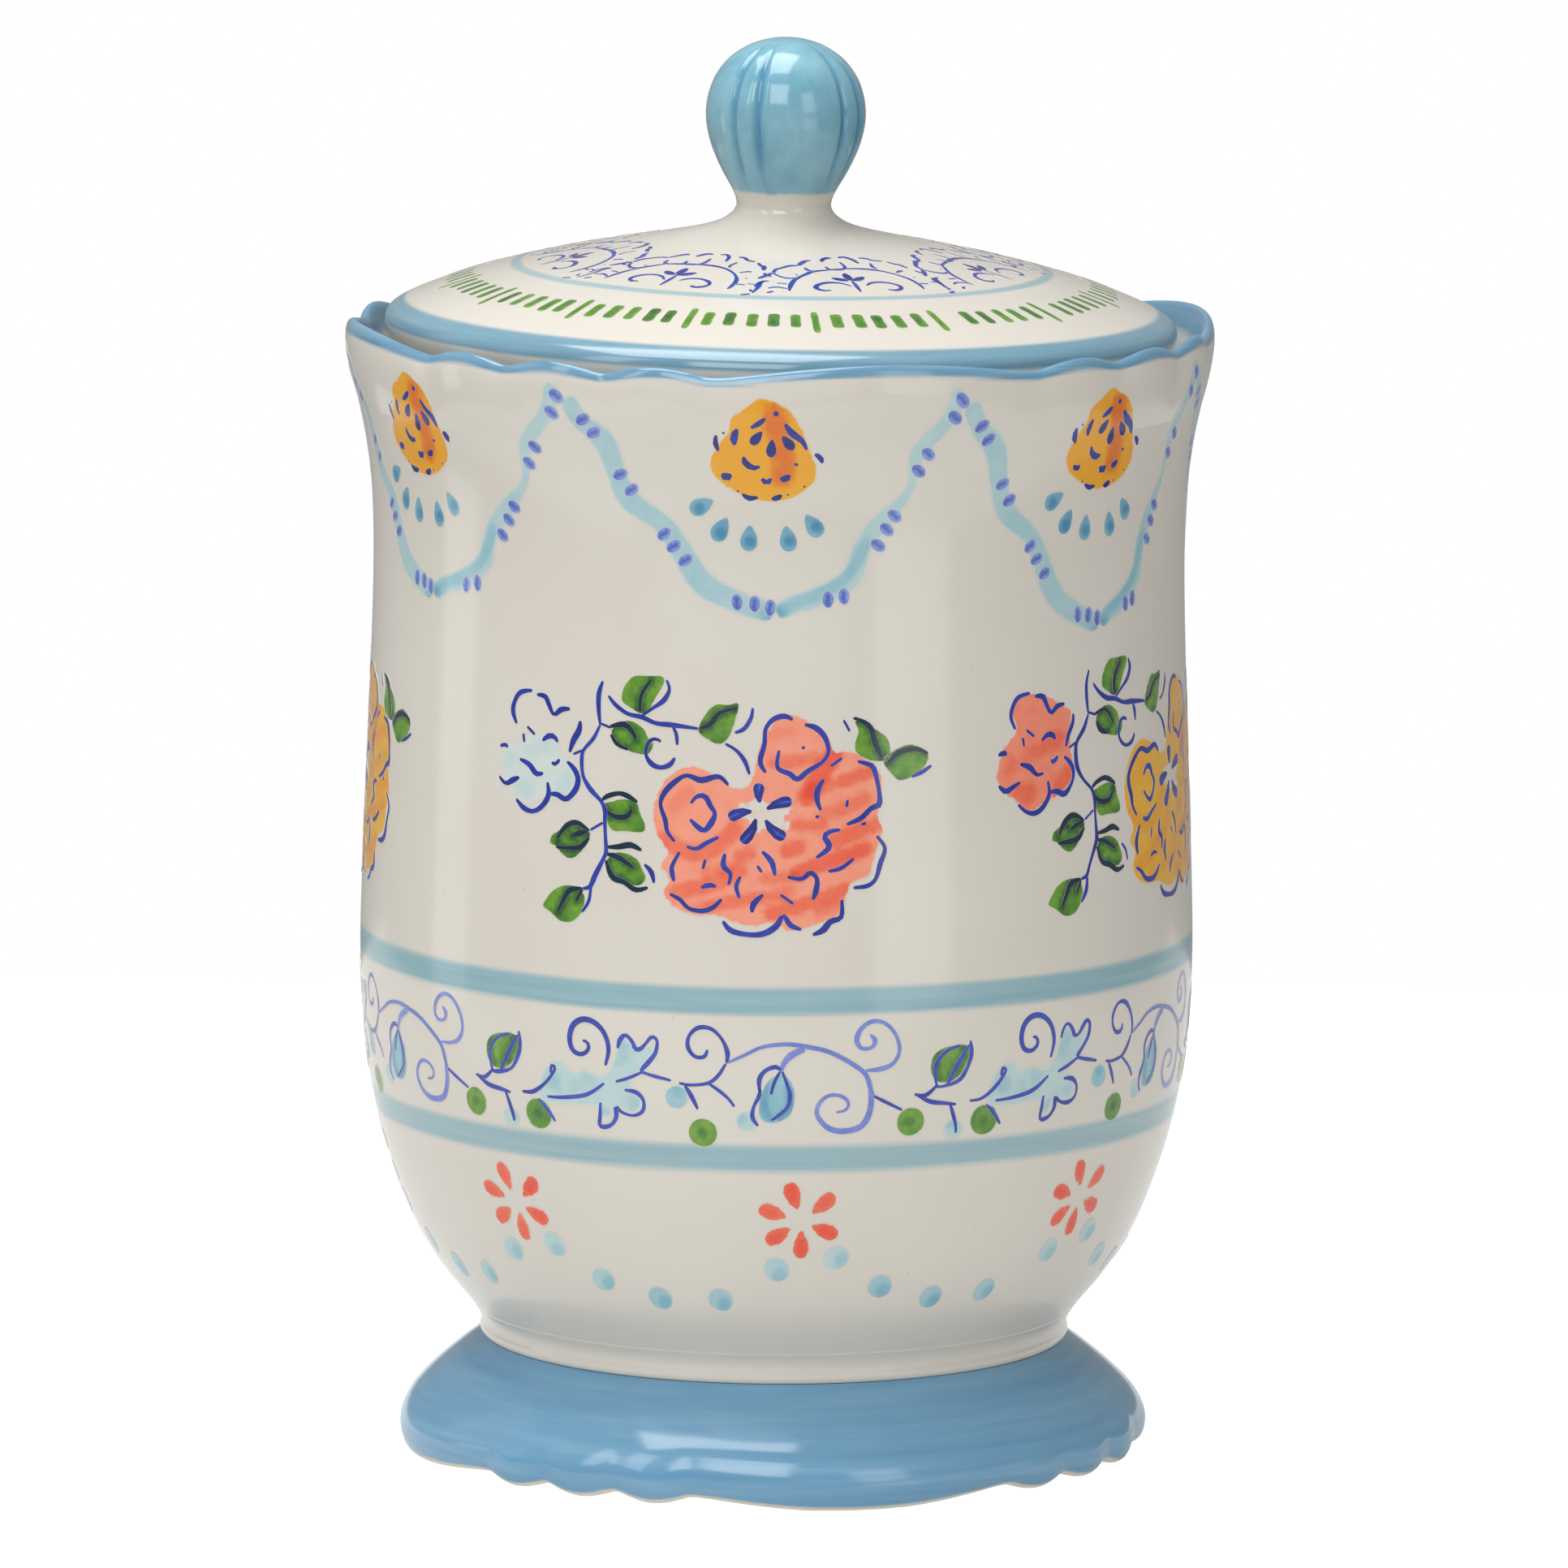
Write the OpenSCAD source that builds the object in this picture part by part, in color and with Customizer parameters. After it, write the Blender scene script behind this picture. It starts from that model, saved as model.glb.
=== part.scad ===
// Hand-painted ceramic cookie jar: a bellied vessel on a scalloped foot, with a
// flared scalloped rim, an inner ledge, and a lifting lid with a fluted knob.
// Millimetres, +Z up. The origin is the middle of the foot, on the table, and
// the front of the jar looks along -Y.

/* [Vessel] */
// Radius of the belly at its widest
belly_r = 81.2; // [78:0.1:84]
// Height of the belly's widest point
belly_z = 96; // [92:1:100]
// Radius of the straight waist above the belly
waist_r = 78.9; // [77:0.1:80.5]
// Thickness of the vessel's wall
wall_t = 5; // [4:0.5:6]
// Thickness of the vessel's floor
floor_t = 5.6; // [4:0.2:8]
// Height at which the wall ends and the flared rim begins
neck_z = 206; // [204:1:208]

/* [Scallops] */
// Angle to the middle of the wide lobe nearest the front
lobe_turn = 13.5; // [0:0.5:45]
// Number of wide lobes around the rim and the foot
lobe_groups = 4; // [3:1:5]
// Number of small lobes between two wide ones
small_lobes = 3; // [2:1:4]
// Height of a small lobe against a wide one
small_share = 0.7; // [0.4:0.05:1]
// Share of each group that the rim's wide lobe takes
rim_wide = 0.5; // [0.4:0.01:0.65]
// Share of each group that the foot's wide lobe takes
foot_wide = 0.58; // [0.4:0.01:0.65]
// How far a wide lobe lifts the rim
rim_wave = 3; // [1:0.1:4]
// How far the foot's hem rises between two lobes
hem_wave = 2.3; // [1:0.1:3]
// How far a lobe stands out from the troughs beside it
lobe_out = 1.5; // [0.5:0.1:2]

/* [Foot] */
// Height of the foot's skirt
foot_z = 21.9; // [20:0.1:23]
// Radius of the foot at its throat
throat_r = 57.1; // [56.5:0.1:58]
// Radius of the foot at its hem, between the lobes
hem_r = 72; // [69:0.1:74]
// Height of the rounded bead between the foot and the vessel
bead_h = 2.5; // [2:0.1:3]

/* [Lid] */
// Radius of the lid
lid_r = 76.9; // [74:0.1:77.5]
// Height of the lid's lower edge above the table
lid_z = 215.5; // [215.3:0.1:217]
// Thickness of the lid's dome
lid_t = 4.7; // [4:0.1:5.5]
// Lean of the lid on its ledge, down to the right, in degrees
lid_lean = 0.9; // [0:0.1:0.9]
// Outer radius of the ring under the lid that keeps it centred
flange_r = 67.3; // [65:0.1:67.6]
// Depth of that ring below the lid's edge
flange_drop = 9; // [6:0.5:12]

/* [Ledge] */
// Radius of the mouth inside the ledge
mouth_r = 69.5; // [69:0.1:70.5]
// Height of the ledge that the lid rests on
ledge_z = 214; // [212:0.1:214]

/* [Knob] */
// Radius of the knob over its lobes
knob_r = 15.5; // [14:0.1:17]
// Height of the knob above the lid's crown
knob_h = 34.2; // [30:0.1:38]
// Angle between the middle of a narrow rib and the groove on each side of it
rib_half = 10.5; // [8:0.5:14]
// Depth of the grooves beside the ribs
groove_depth = 0.7; // [0.2:0.1:1.2]

/* [Hidden] */
$fn = 120;

glaze = "#dedace";
paint = "#76a3c6";
clay = "#e6dfcd";

ring_steps = 180;        // points around a scalloped ring
knob_steps = 96;         // points around the fluted knob
turned_steps = 4;        // points along each stretch of a turned piece's outline
knob_side_steps = 2;     // and along each stretch of the knob's
ground_depth = 0.25;     // ground off the hem's wide lobes so that the jar stands flat
groove_width = 6;        // half the width of a groove on the knob, in degrees
wall_foot_z = foot_z + bead_h;
crown_z = lid_z + 26.5;  // the flat on the lid's crown that the knob stands on
crown_r = 9.9;
ledge_outer_r = 77.1;
throat_inner_r = 49.5;

// A smooth curve through the points p (Catmull-Rom).
function bend(a, b, c, d, t) =
    0.5 * (2 * b + (c - a) * t + (2 * a - 5 * b + 4 * c - d) * t * t
    + (3 * b - a - 3 * c + d) * t * t * t);
function smooth(p, steps) = let (last = len(p) - 1) concat(
    [for (i = [0 : last - 1], s = [0 : steps - 1])
        bend(p[max(i - 1, 0)], p[i], p[i + 1], p[min(i + 2, last)], s / steps)],
    [p[last]]
);
function backwards(p) = [for (i = [len(p) - 1 : -1 : 0]) p[i]];

// The scallop at angle a: 0 in a trough, 1 on the crest of a wide lobe.
function lobe(a, wide) =
    let (
        group = 360 / lobe_groups,
        wide_span = group * wide,
        small_span = (group - wide_span) / small_lobes,
        u = a - lobe_turn + wide_span / 2,
        v = u - group * floor(u / group)
    )
    v < wide_span
        ? sin(180 * v / wide_span)
        : small_share * sin(180 * ((v - wide_span) / small_span - floor((v - wide_span) / small_span)));

// A closed ring with the section p, whose points are [radius, height, how far
// a lobe pushes the point out, how far a lobe lifts it].
module scalloped_ring(p, wide) {
    m = len(p);
    points = [
        for (i = [0 : ring_steps - 1])
            let (a = 360 * i / ring_steps, w = lobe(a, wide))
            for (q = p)
                let (r = q[0] + q[2] * w)
                [r * sin(a), -r * cos(a), q[1] + q[3] * w]
    ];
    faces = [
        for (i = [0 : ring_steps - 1], j = [0 : m - 1])
            let (i2 = (i + 1) % ring_steps, j2 = (j + 1) % m)
            for (f = [
                [i * m + j, i * m + j2, i2 * m + j2],
                [i * m + j, i2 * m + j2, i2 * m + j]
            ]) f
    ];
    polyhedron(points, faces);
}

// The lid's pieces lean together, about the height of its edge.
module leaning() {
    translate([0, 0, lid_z])
        rotate([0, lid_lean, 0])
            translate([0, 0, -lid_z])
                children();
}

module jar_wall() {
    outside = smooth([
        [throat_r - 0.9, wall_foot_z], [60.4, 30], [65.3, 36], [70, 43.5], [74, 53],
        [77.7, 65], [80.2, 79], [belly_r, belly_z], [80.9, 114], [79.8, 142],
        [waist_r, 170], [79.1, 187], [80.3, 198], [81.9, neck_z]
    ], turned_steps);
    floor_z = wall_foot_z + floor_t;
    inside = smooth([
        [46, floor_z], [54, floor_z + 1.6], [60.6, floor_z + 8], [65.3, 47], [69.7, 58],
        [73.2, 70], [belly_r - wall_t - 0.4, 83], [belly_r - wall_t, belly_z],
        [80.9 - wall_t, 114], [79.8 - wall_t, 142], [waist_r - wall_t, 170],
        [waist_r - wall_t - 0.2, 188], [waist_r - wall_t - 0.4, neck_z]
    ], turned_steps);
    color(glaze)
        rotate_extrude()
            polygon(concat([[0, wall_foot_z]], outside, backwards(inside), [[0, floor_z]]));
}

module jar_rim() {
    out = lobe_out;
    up = rim_wave;
    color(paint)
        scalloped_ring([
            [81.9, neck_z, 0, 0],
            [82.6, neck_z + 3, 0.2 * out, 0],
            [83.1, neck_z + 6, 0.5 * out, 0.1 * up],
            [83.4, neck_z + 9, 0.8 * out, 0.35 * up],
            [83.4, neck_z + 11.3, 0.95 * out, 0.65 * up],
            [82.9, neck_z + 12.7, out, 0.9 * up],
            [82.0, neck_z + 13.2, out, up],
            [81.1, neck_z + 12.7, out, 0.9 * up],
            [80.3, neck_z + 10.8, 0.8 * out, 0.6 * up],
            [79.5, neck_z + 8, 0.45 * out, 0.25 * up],
            [78.4, neck_z + 4, 0.1 * out, 0],
            [ledge_outer_r + 0.3, neck_z, 0, 0]
        ], rim_wide);
}

// The ledge stands on the wall's top, inside the rim, and carries the lid.
module lid_ledge() {
    round_r = 1;
    color(glaze)
        rotate_extrude() {
            translate([mouth_r, neck_z])
                square([ledge_outer_r - mouth_r, ledge_z - neck_z - round_r]);
            translate([mouth_r + round_r, neck_z])
                square([ledge_outer_r - mouth_r - round_r, ledge_z - neck_z]);
            translate([mouth_r + round_r, ledge_z - round_r])
                circle(round_r);
        }
}

module foot_bead() {
    round_r = bead_h / 2;
    color(clay)
        rotate_extrude() {
            translate([throat_inner_r, foot_z])
                square([throat_r + 0.4 - round_r - throat_inner_r, bead_h]);
            translate([throat_r + 0.4 - round_r, foot_z + round_r])
                circle(round_r);
        }
}

// The hem's wide lobes are ground flat where the jar stands on them.
module foot_skirt() {
    out = lobe_out;
    down = -hem_wave - ground_depth;
    color(paint)
        difference() {
            scalloped_ring([
                [throat_r, foot_z, 0, 0],
                [hem_r - 10.4, 18.6, 0, 0],
                [hem_r - 5.4, 14.4, 0.1 * out, 0],
                [hem_r - 1.6, 10.4, 0.4 * out, 0.1 * down],
                [hem_r - 0.1, 7.2, 0.8 * out, 0.3 * down],
                [hem_r, 5, out, 0.55 * down],
                [hem_r - 0.6, 3.3, out, 0.85 * down],
                [hem_r - 1.7, 2.5, out, down],
                [hem_r - 3.1, 2.3, out, down],
                [hem_r - 4.3, 2.8, 0.95 * out, 0.9 * down],
                [hem_r - 5.4, 5, 0.7 * out, 0.6 * down],
                [hem_r - 6.8, 8, 0.3 * out, 0.2 * down],
                [hem_r - 10.4, 11.4, 0, 0],
                [hem_r - 15, 15, 0, 0],
                [hem_r - 19.6, 18.4, 0, 0],
                [throat_inner_r, foot_z, 0, 0]
            ], foot_wide);
            translate([-hem_r - 10, -hem_r - 10, -5])
                cube([2 * hem_r + 20, 2 * hem_r + 20, 5]);
        }
}

module lid_dome() {
    outside = smooth([
        [lid_r - 3.1, lid_z], [lid_r - 0.9, lid_z + 1.4], [lid_r, lid_z + 4],
        [lid_r - 0.5, lid_z + 6.2], [lid_r - 2.4, lid_z + 7.8], [70, lid_z + 9.9],
        [62, lid_z + 12.9], [52, lid_z + 15.8], [40, lid_z + 18.5], [28, lid_z + 20.9],
        [18, lid_z + 23], [12.6, lid_z + 24.7], [crown_r, crown_z]
    ], turned_steps);
    flange_seat_z = lid_z + 4.5;
    hollow = smooth([
        [flange_r - 4.3, flange_seat_z], [61.5, lid_z + 12.7 - lid_t],
        [50, lid_z + 16.3 - lid_t], [38, lid_z + 18.9 - lid_t], [24, lid_z + 21.2 - lid_t],
        [10, lid_z + 22.6 - lid_t]
    ], turned_steps);
    color(glaze)
        leaning()
            rotate_extrude()
                polygon(concat(
                    outside, [[0, crown_z], [0, lid_z + 22.8 - lid_t]], backwards(hollow),
                    [[flange_r + 0.3, flange_seat_z], [flange_r + 1.9, lid_z]]
                ));
}

module lid_flange() {
    flange_t = 3.8;
    round_r = flange_t / 2;
    bottom_z = lid_z - flange_drop;
    color(glaze)
        leaning()
            rotate_extrude() {
                translate([flange_r - flange_t, bottom_z + round_r])
                    square([flange_t, flange_drop + 4.5 - round_r]);
                translate([flange_r - round_r, bottom_z + round_r])
                    circle(round_r);
            }
}

// How deep the knob's surface dips at angle a, from 0 to 1. A narrow rib stands
// between each two broad lobes, in line with the small scallops of the rim.
function groove(a) =
    let (
        group = 360 / lobe_groups,
        u = a - lobe_turn,
        from_rib = abs(u - group * floor(u / group) - group / 2)
    )
    exp(-pow((from_rib - rib_half) / groove_width, 2));

// The knob's outline swells from a slim neck, and its grooves fade out at both ends.
module lid_knob() {
    side = smooth([
        [crown_r, 0], [9.2, 1.4], [9.4, 3], [10.2, 4.8], [12, 7.9], [knob_r - 1.9, 11.2],
        [knob_r - 0.8, 14.2], [knob_r - 0.1, 17.6], [knob_r - 0.05, 20.6],
        [knob_r - 0.6, 23.6], [knob_r - 1.9, 26.8], [knob_r - 4.5, 30.1],
        [knob_r - 8.3, knob_h - 1.6], [3.5, knob_h - 0.4]
    ], knob_side_steps);
    m = len(side);
    points = concat(
        [for (q = side, i = [0 : knob_steps - 1])
            let (
                a = 360 * i / knob_steps,
                fade = sin(180 * min(max((q[1] - 5) / (knob_h - 6), 0), 1)),
                r = q[0] - groove_depth * fade * groove(a)
            )
            [r * sin(a), -r * cos(a), crown_z + q[1]]],
        [[0, 0, crown_z], [0, 0, crown_z + knob_h]]
    );
    base = m * knob_steps;
    faces = concat(
        [for (j = [0 : m - 2], i = [0 : knob_steps - 1])
            let (i2 = (i + 1) % knob_steps, lo = j * knob_steps, hi = lo + knob_steps)
            for (f = [[lo + i, hi + i2, lo + i2], [lo + i, hi + i, hi + i2]]) f],
        [for (i = [0 : knob_steps - 1]) [i, (i + 1) % knob_steps, base]],
        [for (i = [0 : knob_steps - 1])
            let (top = (m - 1) * knob_steps)
            [top + i, base + 1, top + (i + 1) % knob_steps]]
    );
    color(paint)
        leaning()
            polyhedron(points, faces);
}

jar_wall();
jar_rim();
lid_ledge();
foot_bead();
foot_skirt();
lid_dome();
lid_flange();
lid_knob();
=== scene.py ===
import math
import random

import bpy
import numpy as np
from mathutils import Matrix, Vector, geometry


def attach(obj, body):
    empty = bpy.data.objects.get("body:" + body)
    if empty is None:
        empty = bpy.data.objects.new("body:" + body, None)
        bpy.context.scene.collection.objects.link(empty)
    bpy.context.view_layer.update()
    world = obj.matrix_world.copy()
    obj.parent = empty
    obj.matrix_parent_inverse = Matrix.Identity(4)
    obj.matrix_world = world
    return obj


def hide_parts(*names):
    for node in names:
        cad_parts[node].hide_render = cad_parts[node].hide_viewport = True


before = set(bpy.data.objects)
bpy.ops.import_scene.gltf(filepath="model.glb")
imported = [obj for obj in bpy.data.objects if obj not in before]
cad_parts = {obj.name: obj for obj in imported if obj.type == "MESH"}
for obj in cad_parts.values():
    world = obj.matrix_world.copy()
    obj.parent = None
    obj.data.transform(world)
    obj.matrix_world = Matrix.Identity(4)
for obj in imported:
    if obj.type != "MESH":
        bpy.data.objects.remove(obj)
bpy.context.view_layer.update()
print("frame loaded:", ", ".join(sorted(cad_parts)))

mm = 0.001
scene = bpy.context.scene
studio = {
    "aimHeight": 130 * mm,
    "aimSide": 1.27 * mm,
    "elevation": 8.6,       # degrees
    "distance": 2.8,        # m
    "lens": 329.7,
    "roll": 0.4,            # degrees
    "air": "#ffffff",       # what the camera sees behind the jar
    "room": 0.32,           # how much of that white falls on the jar itself
    "floor": "#c6c6c4",
    "floorGlow": 0.3,       # how much light the floor gives to the jar by itself
    "floorSize": 1.1,       # m
    "lightsAway": 1.6,      # m
}


def toLinear(hexColour):
    parts = [int(hexColour[i:i + 2], 16) / 255 for i in (1, 3, 5)]
    return tuple(c / 12.92 if c <= 0.04045 else ((c + 0.055) / 1.055) ** 2.4 for c in parts) + (1.0,)


def addNode(tree, kind, settings=None, links=None):
    node = tree.nodes.new(kind)
    for name, value in (settings or {}).items():
        setattr(node, name, value)
    for key, value in (links or {}).items():
        if isinstance(value, bpy.types.NodeSocket):
            tree.links.new(value, node.inputs[key])
        else:
            node.inputs[key].default_value = value
    return node


# camera, lights and floor

def placeCamera():
    lift = math.radians(studio["elevation"])
    aim = Vector((studio["aimSide"], 0, studio["aimHeight"]))
    back = Vector((0, -math.cos(lift), math.sin(lift)))
    camera = bpy.data.objects.new("camera", bpy.data.cameras.new("camera"))
    camera.data.lens = studio["lens"]
    camera.data.sensor_width = 36
    camera.data.clip_end = 40
    turn = back.to_track_quat("Z", "Y").to_matrix() @ Matrix.Rotation(math.radians(studio["roll"]), 3, "Z")
    camera.matrix_world = Matrix.Translation(aim + back * studio["distance"]) @ turn.to_4x4()
    scene.collection.objects.link(camera)
    scene.camera = camera


softboxes = {
    # direction from the front and height in degrees, size in m, brightness against the white air
    "window": {"from": (-12, 38), "size": (0.7, 0.8), "bright": 4.8},
    "left window": {"from": (-53, 35), "size": (0.35, 0.9), "bright": 3.3},
    "left wall": {"from": (-102, 25), "size": (1.2, 1.1), "bright": 0.4},
    "right window": {"from": (35, 23), "size": (0.5, 0.7), "bright": 2.2},
    "ceiling": {"from": (-100, 80), "size": (1.2, 1.0), "bright": 6.2},
    "front card": {"from": (-8, -8), "size": (1.5, 0.5), "bright": 0.35},
    "right card": {"from": (37, -6), "size": (0.6, 0.5), "bright": 1.3},
    "left card": {"from": (-100, -6), "size": (0.4, 0.5), "bright": 1.1},
}


def whiteToTheEye(tree, strength, given):
    # looks fully lit, but gives the jar only the given share of that light
    seen = addNode(tree, "ShaderNodeLightPath").outputs["Is Camera Ray"]
    share = addNode(tree, "ShaderNodeMapRange", None, {"Value": seen, "To Min": given, "To Max": 1.0})
    tree.links.new(share.outputs[0], strength)


def lightStudio():
    aim = Vector((0, 0, studio["aimHeight"]))
    for name, box in softboxes.items():
        data = bpy.data.lights.new(name, "AREA")
        data.shape = "RECTANGLE"
        data.size, data.size_y = box["size"]
        data.energy = box["bright"] * math.pi * data.size * data.size_y
        lamp = bpy.data.objects.new(name, data)
        around, up = (math.radians(angle) for angle in box["from"])
        way = Vector((math.sin(around) * math.cos(up), -math.cos(around) * math.cos(up), math.sin(up)))
        turn = way.to_track_quat("Z", "Y").to_matrix().to_4x4()
        lamp.matrix_world = Matrix.Translation(aim + way * studio["lightsAway"]) @ turn
        scene.collection.objects.link(lamp)
    world = bpy.data.worlds.new("air")
    world.use_nodes = True
    tree = world.node_tree
    ground = tree.nodes["Background"]
    ground.inputs["Color"].default_value = toLinear(studio["air"])
    whiteToTheEye(tree, ground.inputs["Strength"], studio["room"])
    scene.world = world
    scene.view_settings.view_transform = "Standard"


def layFloor():
    half = studio["floorSize"] / 2
    corners = [(-half, -half, 0), (half, -half, 0), (half, half, 0), (-half, half, 0)]
    mesh = bpy.data.meshes.new("floor")
    mesh.from_pydata(corners, [], [(0, 1, 2, 3)])
    card = bpy.data.materials.new("white acrylic, lit from below")
    card.use_nodes = True
    shader = card.node_tree.nodes["Principled BSDF"]
    shader.inputs["Base Color"].default_value = toLinear(studio["floor"])
    shader.inputs["Roughness"].default_value = 0.75
    shader.inputs["Emission Color"].default_value = toLinear(studio["air"])
    whiteToTheEye(card.node_tree, shader.inputs["Emission Strength"], studio["floorGlow"])
    mesh.materials.append(card)
    floor = bpy.data.objects.new("floor", mesh)
    scene.collection.objects.link(floor)


placeCamera()
lightStudio()
layFloor()
print("studio: camera,", len(softboxes), "softboxes and the floor")

# glazes and underglaze colours

glazeLook = {
    "body": "#d3cec4",      # off-white glaze over a cream body
    "thick": "#cbc5bb",     # where it lies a little thicker it goes greyer
    "patch": 34,            # mm, how wide those patches are
    "speck": "#8d8474",     # iron specks from the clay
    "speckEvery": 9,        # mm
    "roughness": 0.13,
    "peel": 11,             # mm, the slow waves in a dipped glaze
    "peelDepth": 0.05,      # mm
    "ior": 1.52,
}


def glazeGround(tree):
    # the plain glaze colour at each place, the same on every piece, so that thin paint fades into it
    where = addNode(tree, "ShaderNodeTexCoord").outputs["Object"]
    patches = addNode(tree, "ShaderNodeTexNoise", None,
                      {"Vector": where, "Scale": 1 / (glazeLook["patch"] * mm), "Detail": 2.0})
    cream = addNode(tree, "ShaderNodeMix", {"data_type": "RGBA"},
                    {0: patches.outputs[0], 6: toLinear(glazeLook["body"]), 7: toLinear(glazeLook["thick"])})
    cells = addNode(tree, "ShaderNodeTexVoronoi", None,
                    {"Vector": where, "Scale": 1 / (glazeLook["speckEvery"] * mm)})
    near = addNode(tree, "ShaderNodeMapRange", {"interpolation_type": "SMOOTHSTEP"},
                   {"Value": cells.outputs["Distance"], "From Min": 0.022, "From Max": 0.045,
                    "To Min": 0.2, "To Max": 0.0})
    specked = addNode(tree, "ShaderNodeMix", {"data_type": "RGBA"},
                      {0: near.outputs[0], 6: cream.outputs[2], 7: toLinear(glazeLook["speck"])})
    return specked.outputs[2]


def glazeFinish(tree, colour, roughness=None):
    where = addNode(tree, "ShaderNodeTexCoord").outputs["Object"]
    waves = addNode(tree, "ShaderNodeTexNoise", None,
                    {"Vector": where, "Scale": 1 / (glazeLook["peel"] * mm), "Detail": 1.0})
    bump = addNode(tree, "ShaderNodeBump", None,
                   {"Height": waves.outputs[0], "Strength": 0.5, "Distance": glazeLook["peelDepth"] * mm})
    shader = tree.nodes["Principled BSDF"]
    tree.links.new(colour, shader.inputs["Base Color"])
    tree.links.new(bump.outputs[0], shader.inputs["Normal"])
    if isinstance(roughness, bpy.types.NodeSocket):
        tree.links.new(roughness, shader.inputs["Roughness"])
    else:
        shader.inputs["Roughness"].default_value = roughness or glazeLook["roughness"]
    shader.inputs["IOR"].default_value = glazeLook["ior"]


def newMaterial(name):
    material = bpy.data.materials.new(name)
    material.use_nodes = True
    return material, material.node_tree


def brushStreaks(tree, longWay, shortWay):
    # streaks that run round the pot, as a brush leaves them on a turning wheel
    where = addNode(tree, "ShaderNodeTexCoord").outputs["Object"]
    spread = (1 / (longWay * mm), 1 / (longWay * mm), 1 / (shortWay * mm))
    laid = addNode(tree, "ShaderNodeMapping", None, {"Vector": where, "Scale": spread})
    noise = addNode(tree, "ShaderNodeTexNoise", None,
                    {"Vector": laid.outputs[0], "Scale": 1.0, "Detail": 3.0, "Roughness": 0.6})
    return noise.outputs[0]


def threeTones(tree, value, thin, full, deep):
    ramp = addNode(tree, "ShaderNodeValToRGB", None, {"Fac": value})
    ramp.color_ramp.elements[0].color = toLinear(thin)
    ramp.color_ramp.elements[1].color = toLinear(deep)
    middle = ramp.color_ramp.elements.new(0.5)
    middle.color = toLinear(full)
    return ramp.outputs[0]


def ringMask(tree, source, low, high, soft, wobble, streaks):
    # 1 between low and high (mm) of a piece's own attribute, with an edge that wanders like a brush's
    place = addNode(tree, "ShaderNodeAttribute", {"attribute_name": source}).outputs["Fac"]
    shift = addNode(tree, "ShaderNodeMath", {"operation": "MULTIPLY_ADD"},
                    {0: streaks, 1: wobble * mm, 2: -0.5 * wobble * mm})
    moved = addNode(tree, "ShaderNodeMath", {"operation": "ADD"}, {0: place, 1: shift.outputs[0]})
    rise = addNode(tree, "ShaderNodeMapRange", {"interpolation_type": "SMOOTHSTEP"},
                   {"Value": moved.outputs[0], "From Min": (low - soft) * mm, "From Max": (low + soft) * mm})
    fall = addNode(tree, "ShaderNodeMapRange", {"interpolation_type": "SMOOTHSTEP"},
                   {"Value": moved.outputs[0], "From Min": (high - soft) * mm, "From Max": (high + soft) * mm,
                    "To Min": 1.0, "To Max": 0.0})
    return addNode(tree, "ShaderNodeMath", {"operation": "MULTIPLY"},
                   {0: rise.outputs[0], 1: fall.outputs[0]}).outputs[0]


def bandedGlaze(name, bands):
    # off-white glaze with brushed rings of watery blue under it
    material, tree = newMaterial(name)
    colour = glazeGround(tree)
    for band in bands:
        streaks = brushStreaks(tree, 60, 2)
        mask = ringMask(tree, band["by"], band["low"], band["high"], band["soft"], 1.2, streaks)
        paint = threeTones(tree, streaks, band["thin"], band["full"], band["deep"])
        load = addNode(tree, "ShaderNodeMath", {"operation": "MULTIPLY"}, {0: mask, 1: band["load"]})
        mixed = addNode(tree, "ShaderNodeMix", {"data_type": "RGBA"},
                        {0: load.outputs[0], 6: colour, 7: paint})
        colour = mixed.outputs[2]
    glazeFinish(tree, colour)
    return material


def brushedGlaze(name, look):
    # blue brushed over the glaze where the attribute "paint" says so, uneven at its edge, and darker down the
    # knob's grooves as painted shade
    material, tree = newMaterial(name)
    streaks = brushStreaks(tree, look["longWay"], look["shortWay"])
    reach = addNode(tree, "ShaderNodeAttribute", {"attribute_name": "paint"}).outputs["Fac"]
    worn = addNode(tree, "ShaderNodeMath", {"operation": "MULTIPLY_ADD"}, {0: streaks, 1: 0.5, 2: -0.25})
    uneven = addNode(tree, "ShaderNodeMath", {"operation": "ADD"}, {0: reach, 1: worn.outputs[0]})
    mask = addNode(tree, "ShaderNodeMapRange", {"interpolation_type": "SMOOTHSTEP"},
                   {"Value": uneven.outputs[0], "From Min": 0.3, "From Max": 0.7})
    # painted shade: a darker blue down the knob's grooves
    pool = addNode(tree, "ShaderNodeAttribute", {"attribute_name": "pool"}).outputs["Fac"]
    depth = addNode(tree, "ShaderNodeMath", {"operation": "ADD"}, {0: streaks, 1: pool})
    blue = threeTones(tree, depth.outputs[0], look["thin"], look["full"], look["deep"])
    ground = glazeGround(tree)
    if "bare" in look:
        where = addNode(tree, "ShaderNodeTexCoord").outputs["Object"]
        tint = addNode(tree, "ShaderNodeTexNoise", None,
                       {"Vector": where, "Scale": 1 / (look["grit"] * mm), "Detail": 2.0})
        clay = addNode(tree, "ShaderNodeMix", {"data_type": "RGBA"},
                       {0: tint.outputs[0], 6: toLinear(look["bare"]), 7: toLinear(look["bareDark"])})
        ground = clay.outputs[2]
    mixed = addNode(tree, "ShaderNodeMix", {"data_type": "RGBA"}, {0: mask.outputs[0], 6: ground, 7: blue})
    sheen = glazeLook["roughness"]
    if "bare" in look:
        dull = addNode(tree, "ShaderNodeMapRange", None,
                       {"Value": mask.outputs[0], "To Min": 0.8, "To Max": glazeLook["roughness"]})
        sheen = dull.outputs[0]
    glazeFinish(tree, mixed.outputs[2], sheen)
    return material


hairWidth = 1.3             # mm, how coarse the brush's hairs fray an edge


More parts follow.
